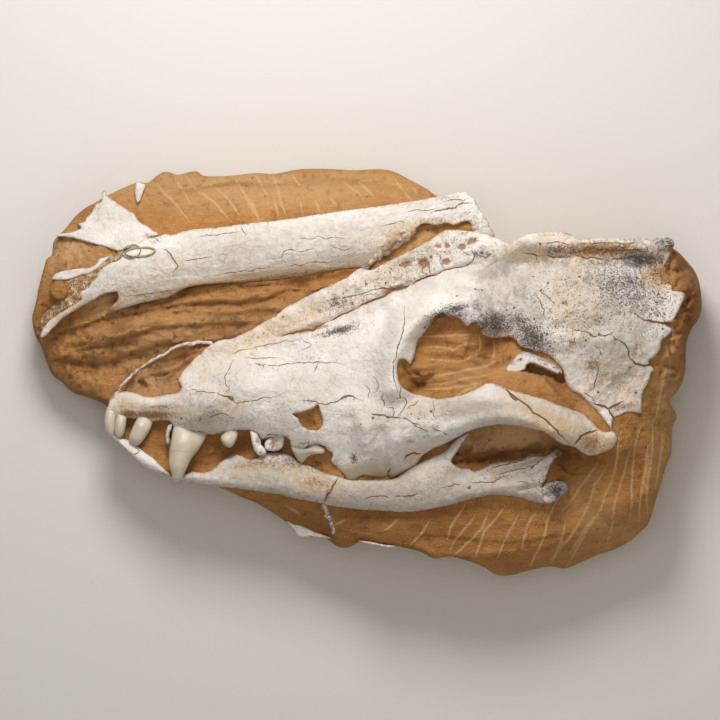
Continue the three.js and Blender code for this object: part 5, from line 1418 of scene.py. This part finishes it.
def paint_bone(piece, depth):
    """Everything that the bone's material reads: the rim, the stains and the grey patches that are partly
    painted shade, the cracks and the seams.
    """
    co = places(piece)
    x, y = co[:, 0], co[:, 1]
    paint(piece, "rim", np.clip(1 - depth / 1.5, 0, 1))
    # the grey layer is partly painted shade on the bone's lower sides
    for name, ovals in (("manganese", MANGANESE_CLOUDS), ("dots", BLACK_GRAINS), ("rust", RUST), ("warm", WARM),
                        ("grey_and_painted_shade", GREY_AND_PAINTED_SHADE)):
        paint(piece, name, spots(x, y, ovals))
    draw(piece, "hairline", [(
        BROAD_HALF if name in BROAD_CRACKS else FAINT_HALF if name.startswith(FAINT_CRACKS) else HAIR_HALF,
        line) for name, line in HAIRLINES.items()], BONE_CELL)
    draw(piece, "seam", [(width * 0.5 + 0.15, line) for width, line in SEAMS.values()], BONE_CELL)


def paint_tooth(piece, depth, root, cracks=()):
    """What the enamel reads: the rim, how near the root each place is, and the cracks."""
    paint(piece, "rim", np.clip(1 - depth / 0.8, 0, 1))
    paint(piece, "root", root)
    draw(piece, "hairline", [(FAINT_HALF, line) for line in cracks], FINE_CELL)


# Rings of a bone's sides and of a thin piece's: [drop, step inwards] in mm.
BONE_RINGS = ((0.5, 0), (1.5, 0.1), (3, 0.4), (3.5, 0.7), (2.5, 0.8))
THIN_RINGS = ((0.4, 0), (1.2, 0.1), (2, 0.3), (3, 0.4))


def relief(name, loops, height, cell, brush, rings=BONE_RINGS):
    """A piece seen from above: cut to its outline, raised to its height, painted, and closed below."""
    piece = cut_sheet(name, loops, cell)
    co = places(piece)
    depth = np.maximum(depth_of(co[:, 0], co[:, 1], loops)[0], 0)
    co[:, 2] = height(co[:, 0], co[:, 1], depth)
    move(piece, co)
    brush(piece, depth)
    top_count = walls(piece, loops, rings)
    plain_below(piece, top_count)
    return piece


def plain_below(piece, top_count):
    """Keeps cracks and strokes from running down the sides of a piece, and halves its stains, painted shade and
    painted light there.
    """
    for layer in piece.data.attributes:
        if layer.domain != "POINT" or layer.name == "position":
            continue
        if layer.data_type == "FLOAT_VECTOR":
            values = np.empty((len(layer.data), 3), np.float32)
            layer.data.foreach_get("vector", values.ravel())
            values[top_count:] = (0, 0, CLEAR)
            layer.data.foreach_set("vector", values.ravel())
        elif layer.data_type == "FLOAT":
            values = np.empty(len(layer.data), np.float32)
            layer.data.foreach_get("value", values)
            values[top_count:] *= 0.5
            layer.data.foreach_set("value", values)


def small_relief(name, edge, height, brush, rings=THIN_RINGS):
    """A small piece with fine cells, from the points of its outline."""
    return relief(name, [through(edge, closed=True, step=0.8)], height, FINE_CELL, brush, rings)


def make_bones():
    piece = relief("cranium", [cranium_loop, window_loop, canal_loop], cranium_height, BONE_CELL, paint_bone)
    finish_piece(piece, BONE, [
        "premaxilla", "maxilla", "nasal_left", "nasal_right", "frontal_left", "frontal_right", "jugal",
        "zygomatic_process", "glenoid_process", "parietal", "sagittal_crest", "squamosal", "mastoid"])
    piece = relief("mandible", [mandible_loop], mandible_height, BONE_CELL, paint_bone)
    finish_piece(piece, BONE, ["mandible_front", "mandible_rear"])
    piece = relief("limb_bone_shaft", [limb_loop], limb_height, BONE_CELL, paint_bone)
    finish_piece(piece, BONE, ["limb_bone", "splinter_lower"])


def proud_of_rock(proud, edge_drop=1.2, edge=1.4):
    """The height of a fragment that stands proud of the rock it lies on."""
    def height(x, y, depth):
        level = rock_level(x, y, np.maximum(depth_inside(x, y, block_loop)[0], 0))
        top = level + proud - edge_drop * round_off(depth, edge)
        return top + 0.3 * lumps(x, y, 6, 51) + 0.1 * lumps(x, y, 2, 53)
    return height


# Loose fragments of bone: outline, how proud of the rock, node.
FRAGMENTS = {
    "shard_of_bone": (SHARD_EDGE, 3.5, "shard"),
    "chip_of_bone": (CHIP_EDGE, 3, "shard_chip"),
    "upper_splinter": (SPLINTER_UPPER_EDGE, 3, "splinter_upper"),
    "ear_region_fragment": (EAR_FRAGMENT_EDGE, 3.5, "ear_fragment"),
    "long_edge_sliver": (EDGE_SLIVER_LONG, 2, "edge_sliver"),
    "right_edge_sliver": (EDGE_SLIVER_RIGHT, 2, None),
}


def make_fragments():
    for name, (edge, proud, node) in FRAGMENTS.items():
        piece = small_relief(name, edge, proud_of_rock(proud), paint_bone)
        finish_piece(piece, BONE, [node] if node else [])


def make_block():
    piece = cut_sheet("sandstone_matrix", [block_loop], ROCK_CELL)
    co = places(piece)
    co[:, 2], hollow_shade = rock_height(co[:, 0], co[:, 1])
    move(piece, co)
    # painted shade in the rock's hollows, pale patches partly painted as light, and painted shade at the foot
    # of the bones and on edges facing down
    paint(piece, "hollow_shade", hollow_shade)
    paint(piece, "pale_and_painted_light", spots(co[:, 0], co[:, 1], PALE_AND_PAINTED_LIGHT_ON_ROCK))
    paint(piece, "dark_and_painted_shade", spots(co[:, 0], co[:, 1], PAINTED_SHADE_ON_ROCK))
    draw(piece, "stroke", [(STROKE_HALF, line) for line in STROKES], ROCK_CELL, 0.2)
    shares = 1 / np.arange(13, 0, -1)
    top_count = walls(piece, [block_loop], [(share, 0) for share in shares], floor=0)
    plain_below(piece, top_count)
    # the broken sides lean in towards the foot of the block
    co = places(piece)
    wall = np.arange(len(co)) >= top_count
    x, y, z = co[wall].T
    below = 1 - z / 30
    lean = 1.5 + 1.4 * lumps(x + y, z * 1.3, 9, 71) + 0.8 * lumps(x - y, z, 3, 73)
    lean = np.clip(lean, 0, 6) * ease(below, 0, 0.5) + 6.5 * round_off(z, 7)
    co[wall, :2] += inward(x, y, [block_loop]) * lean[:, None]
    move(piece, co)
    finish_piece(piece, ROCK, ["sandstone_block"], smooth=75)


# Painted shade on the rock: at the foot of the bones and the teeth, in the hollow under the arch and on edges
# of the block that face down: [x, y], reaches, turn, strength.
PAINTED_SHADE_ON_ROCK = [
    (162, 25, 7, 34, 0, 0.6), (144, 60, 20, 6, -20, 0.4), (-140, -12, 34, 5, -35, 0.4),
    (-88, -40, 8, 12, 0, 0.5), (-60, -36, 30, 5, 0, 0.4), (-105, -33, 18, 8, -20, 0.3), (98, -44, 6, 8, 0, 0.5),
    (112, -44, 12, 5, 0, 0.5), (6, 58, 14, 5, 35, 0.6), (70, 26, 16, 4, -10, 0.5), (57, -44.5, 7, 2, 10, 0.9),
    (67, -41.5, 9, 2, 10, 0.8), (80, -39.3, 12, 0.8, 2, 0.8), (10, -80, 66, 12, -4, 0.6),
    (-120, -6, 4, 2.4, 0, 0.7),
]
# Paler rock: partly the stone's own pale patches, partly painted light that lifts the shade under the arch, in
# the notch by the limb bone's broken end and in the pocket by the brow: [x, y], reaches, turn, strength.
PALE_AND_PAINTED_LIGHT_ON_ROCK = [
    (-60, 92, 90, 10, 0, 0.6), (60, 0, 20, 8, 0, 0.25), (84, 4, 20, 8, 0, 0.4), (112, -14, 12, 8, -40, 0.4),
    (150, -10, 8, 40, 0, 0.35), (-90, 18, 60, 18, 10, 0.35), (115, -72, 28, 12, -30, 0.3),
    (20, 90, 16, 6, 0, 0.4), (-104, -2, 16, 8, 25, 0.7), (150, 48, 8, 8, 0, 0.3), (-148, 62, 14, 12, 0, 0.7),
    (-130, 35, 10, 6, 20, 0.9), (72, -33, 34, 8, 0, 0.7), (25, 66, 18, 5, 40, 0.6),
]


# Small round teeth as bars: stations [x, y, z, half width, half depth].
SMALL_TEETH = {
    "first_incisor": [
        (-126.6, -16, 33, 2.2, 2.4), (-128, -20, 35, 2.7, 2.8), (-128.6, -25, 36, 2.8, 3),
        (-128.2, -29.5, 35.5, 2.4, 2.6), (-127.2, -32.8, 34.5, 1.3, 1.6)],
    "second_incisor": [
        (-122.2, -19, 33, 2.2, 2.2), (-122.7, -22.5, 36, 2.6, 2.6), (-123.4, -27, 37.5, 2.8, 2.8),
        (-123.9, -31, 37, 2.3, 2.2), (-123.8, -33, 36.3, 1.2, 1.2)],
    "third_incisor": [
        (-109.6, -20.5, 35.5, 3, 2.6), (-110.9, -24.5, 38, 3.9, 3), (-112.6, -28, 39.5, 4.2, 3.3),
        (-115.4, -33.3, 39.5, 3.6, 2.8), (-117, -36.8, 38, 2.2, 1.8)],
    "first_premolar": [
        (-66.5, -28, 42, 2.4, 2.4), (-67.6, -31.5, 45, 3.3, 3), (-69.6, -34.6, 46, 3.8, 3.2),
        (-71.4, -36.6, 45.5, 2.4, 2.2)],
}

# Cheek teeth: outline, neck line where the crown leaves the bone, how proud, node.
CHEEK_TEETH = {
    "third_premolar": (PREMOLAR_3_EDGE, [(-37, -36), (-33, -37.5), (-28, -36.5), (-24, -37), (-18, -39)],
                       1.0, "premolar_3"),
    "upper_carnassial": (CARNASSIAL_EDGE, [(-17, -43.5), (-8, -43), (0, -44), (6, -45), (12, -47)],
                         0.7, "carnassial"),
    "first_molar": (MOLAR_1_EDGE, [(11, -48), (18, -45.5), (26, -44)], 0.7, "carnassial"),
    "second_molar": (MOLAR_2_EDGE, [(19, -44), (24, -40.5), (28, -42)], 0.5, "carnassial"),
}


def make_teeth():
    for name, stations in SMALL_TEETH.items():
        piece, share = bar_piece(name, stations)
        paint_tooth(piece, np.full(share.shape, 3.0), 1 - ease(share, 0.05, 0.5))
        finish_piece(piece, ENAMEL)
    piece, share = bar_piece("upper_canine", CANINE_AXIS, 48, 90, 2.2)
    paint_tooth(piece, np.full(share.shape, 3.0), 1 - ease(share, 0.02, 0.35),
                [[(-99, -40), (-93, -39.2), (-88, -40), (-84, -39.4)]])
    finish_piece(piece, ENAMEL, ["canine"])
    for name, (edge, neck, proud, node) in CHEEK_TEETH.items():
        neck = through(neck)

        def height(x, y, depth):
            below_neck = ease(nearest(x, y, neck)[0], 0, 3.5)
            crown = cranium_height(x, y, np.full(x.shape, 9.0)) - 1.4 + (proud + 0.8) * below_neck
            return crown - 1.3 * round_off(depth, 1.6)

        def brush(piece, depth):
            co = places(piece)
            paint_tooth(piece, depth * 3, 1 - ease(nearest(co[:, 0], co[:, 1], neck)[0], 0.5, 6))

        piece = small_relief(name, edge, height, brush)
        finish_piece(piece, ENAMEL, [node])


def pillow(base, rise, radius):
    """The height of a rounded lump: its rim's level, its rise, and how broadly it is rounded."""
    def height(x, y, depth):
        t = np.clip(depth / radius, 0, 1)
        return base + rise * np.sqrt(np.clip(1 - (1 - t) ** 2, 0, 1)) + 0.4 * lumps(x, y, 3, 61)
    return height


def roughened(surface, rise, size_mm, seed):
    """A surface with lumps added."""
    return lambda x, y, depth: surface(x, y, depth) + rise * lumps(x, y, size_mm, seed)


def plain_brush(piece, depth):
    """For a material that reads nothing from its piece."""


def rock_brush(piece, depth):
    """What the sandstone reads, for a lump without strokes."""
    # painted shade where the lump meets the rock, and a darker tone over it all
    paint(piece, "hollow_shade", np.clip(0.6 - depth * 0.4, 0, 0.5))
    paint(piece, "pale_and_painted_light", np.zeros(len(depth)))
    paint(piece, "dark_and_painted_shade", np.full(len(depth), 0.2))
    draw(piece, "stroke", [], FINE_CELL)


def make_small_pieces():
    for name, edge, base, rise in (("root_of_premolar_2_front", PREMOLAR_2_ROOT_A, 45.5, 2.5),
                                   ("root_of_premolar_2_rear", PREMOLAR_2_ROOT_B, 45.5, 2.2),
                                   ("spur_before_the_canine", PREMAXILLA_SPUR, 42, 3.5)):
        piece = small_relief(name, edge, pillow(base, rise, 2.5), paint_bone)
        finish_piece(piece, BONE)
    # the thin broken rim of the nasal opening, which climbs and thickens towards the nasals
    rim = [(x, y, 37.2 + 4 * i / 12, 0.45 + 0.6 * i / 12, 1.2) for i, (x, y) in enumerate(NASAL_RIM_LINE)]
    piece, _ = bar_piece("rim_of_the_nasal_opening", rim, 12, 160, 1)
    co = places(piece)
    x, y = co[:, 0].copy(), co[:, 1].copy()
    co[:, 0] += 0.5 * lumps(x, y, 3.5, 81)
    co[:, 1] += 0.5 * lumps(x, y, 3.5, 82)
    co[:, 2] += 1.1 * lumps(x, y, 7, 83) - 0.3
    move(piece, co)
    paint_bone(piece, np.full(len(piece.data.vertices), 0.4))
    finish_piece(piece, BONE)
    # the inner bone of the broken shaft
    piece = small_relief("spongy_infill", SPONGY_EDGE, roughened(proud_of_rock(3), 0.6, 2.5, 63), plain_brush,
                         BONE_RINGS)
    finish_piece(piece, SPONGY, ["spongy_bone"])
    # a vein of crushed bone that runs down the rock from the break in the jaw
    vein = [(-21.5, -64, 42, 1.2, 2), (-20, -69, 43, 1.4, 2), (-18, -74, 41.8, 1.6, 2),
            (-16.5, -79, 37.5, 1.3, 2), (-17.5, -82, 34, 0.8, 2)]
    piece, _ = bar_piece("vein_below_the_jaw", vein, 16, 80, 1)
    co = places(piece)
    x, y = co[:, 0].copy(), co[:, 1].copy()
    co[:, 0] += 0.6 * lumps(x, y, 2.5, 84)
    co[:, 2] += rock_height(x, y)[0] + 0.6 - np.interp(-y, [-p[1] for p in vein], [p[2] for p in vein]) - 2.2
    move(piece, co)
    paint_bone(piece, np.full(len(co), 1.0))
    finish_piece(piece, BONE)
    crumbled = roughened(roughened(
        lambda x, y, depth: bar_top(x, y, LIMB_BONE_AXIS) - 1.4 + 2.2 * ease(depth, 0, 1.6),
        2.2, 3.4, 81), 1.2, 1.6, 82)
    piece = small_relief("crumbled_edge_of_the_limb_bone", CRUMBLED_EDGE, crumbled, paint_bone)
    finish_piece(piece, BONE)
    # nodules on the rock, on the crest and on the angle of the jaw
    turns = np.linspace(0, 2 * math.pi, 15)[:-1]
    ring = [(-154 + 5 * math.cos(a), 41 + 5 * math.sin(a)) for a in turns]
    piece = small_relief("round_nodule", ring, pillow(37.5, 2.2, 5), rock_brush, BONE_RINGS)
    finish_piece(piece, ROCK, ["rock_nodule"])
    lump = [(148 + 6.2 * math.cos(a), 64 + 3.8 * math.sin(a)) for a in turns]
    piece = small_relief("nodule_on_the_crest", lump, pillow(52, 6, 3.8), paint_bone, BONE_RINGS)
    finish_piece(piece, BONE, ["crest_nodule"])
    piece = small_relief("nodule_on_the_angle", ANGULAR_NODULE, roughened(pillow(56.5, 2.4, 3), 1.2, 2.6, 65),
                         paint_bone, BONE_RINGS)
    finish_piece(piece, BONE)


def make_mineral_ring(name, at_x, at_y, along, across, thick):
    """A closed thread of mineral round an oval on the limb bone, laid over its surface."""
    bpy.ops.mesh.primitive_torus_add(major_segments=48, minor_segments=8, major_radius=1, minor_radius=0.1)
    piece = bpy.context.object
    piece.name = piece.data.name = name
    co = places(piece) * MM
    around_ring = np.arctan2(co[:, 1], co[:, 0])
    out = np.hypot(co[:, 0], co[:, 1]) - 1
    x = at_x + (along + out * thick) * np.cos(around_ring)
    y = at_y + (across + out * thick) * np.sin(around_ring) + 0.5 * np.cos(around_ring)
    surface = limb_height(x, y, np.full(x.shape, 5.0))
    co = np.column_stack([x, y, surface + 0.3 + co[:, 2] * thick * 1.4])
    move(piece, co)
    finish_piece(piece, MINERAL)


make_bones()
make_fragments()
make_block()
make_teeth()
make_small_pieces()
make_mineral_ring("mineral_ring", -113, 60, 7.6, 2.3, 5)
make_mineral_ring("mineral_ring_left", -117.3, 60.2, 4.6, 3.3, 3.5)


# ------------------------------------------------------------------ floor, light and camera

def stage_floor():
    """A plain pale floor, a hair below the block."""
    bpy.ops.mesh.primitive_plane_add(size=6, location=(0, 0, -0.0002))
    floor = bpy.context.object
    floor.name = "floor"
    material = bpy.data.materials.new("matt_floor")
    material.use_nodes = True
    shader = material.node_tree.nodes["Principled BSDF"]
    shader.inputs["Base Color"].default_value = linear("#d9d8d6")
    shader.inputs["Roughness"].default_value = 0.9
    floor.data.materials.append(material)
    floor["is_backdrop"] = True


def soft_light(name, at, aim, width, watts, tint):
    """A round soft light at a place, turned to what it lights."""
    bpy.ops.object.light_add(type="AREA", location=at)
    light = bpy.context.object
    light.name = name
    light.data.shape = "DISK"
    light.data.size = width
    light.data.energy = watts
    light.data.color = linear(tint)[:3]
    away = np.array(at) - np.array(aim)
    flat = math.hypot(away[0], away[1])
    light.rotation_euler = (math.atan2(flat, away[2]), 0, math.atan2(away[1], away[0]) + math.pi / 2)


stage_floor()
soft_light("key", (-0.06, 0.46, 0.5), (0.02, -0.02, 0.04), 0.28, 3.8, "#fffaf3")
soft_light("fill", (0.35, -0.8, 1.1), (0, 0, 0.05), 1.2, 2.8, "#fff0da")
soft_light("top", (-0.1, 0.1, 1.8), (0, 0, 0.05), 1.0, 4.3, "#fffaf2")
world = bpy.data.worlds.new("studio")
world.use_nodes = True
world.node_tree.nodes["Background"].inputs["Color"].default_value = linear("#eeeae5")
world.node_tree.nodes["Background"].inputs["Strength"].default_value = 0.25
bpy.context.scene.world = world

# Straight above the block, with a long lens: at VIEW_HEIGHT the frame is FRAME_WIDTH wide.
VIEW_HEIGHT = 0.05
FRAME_WIDTH = 0.360
LENS = 300
SENSOR = 36
distance = FRAME_WIDTH * LENS / SENSOR
bpy.ops.object.camera_add(location=(-0.003, 0.006, VIEW_HEIGHT + distance), rotation=(0, 0, 0))
camera = bpy.context.object
camera.data.lens = LENS
camera.data.sensor_width = SENSOR
camera.data.clip_end = 20
bpy.context.scene.camera = camera
bpy.context.scene.view_settings.view_transform = "Standard"

seen_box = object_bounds()
({name: [list(map(float, corner)) for corner in corners]
           for name, corners in (("cad", cad_box), ("visual", seen_box))})
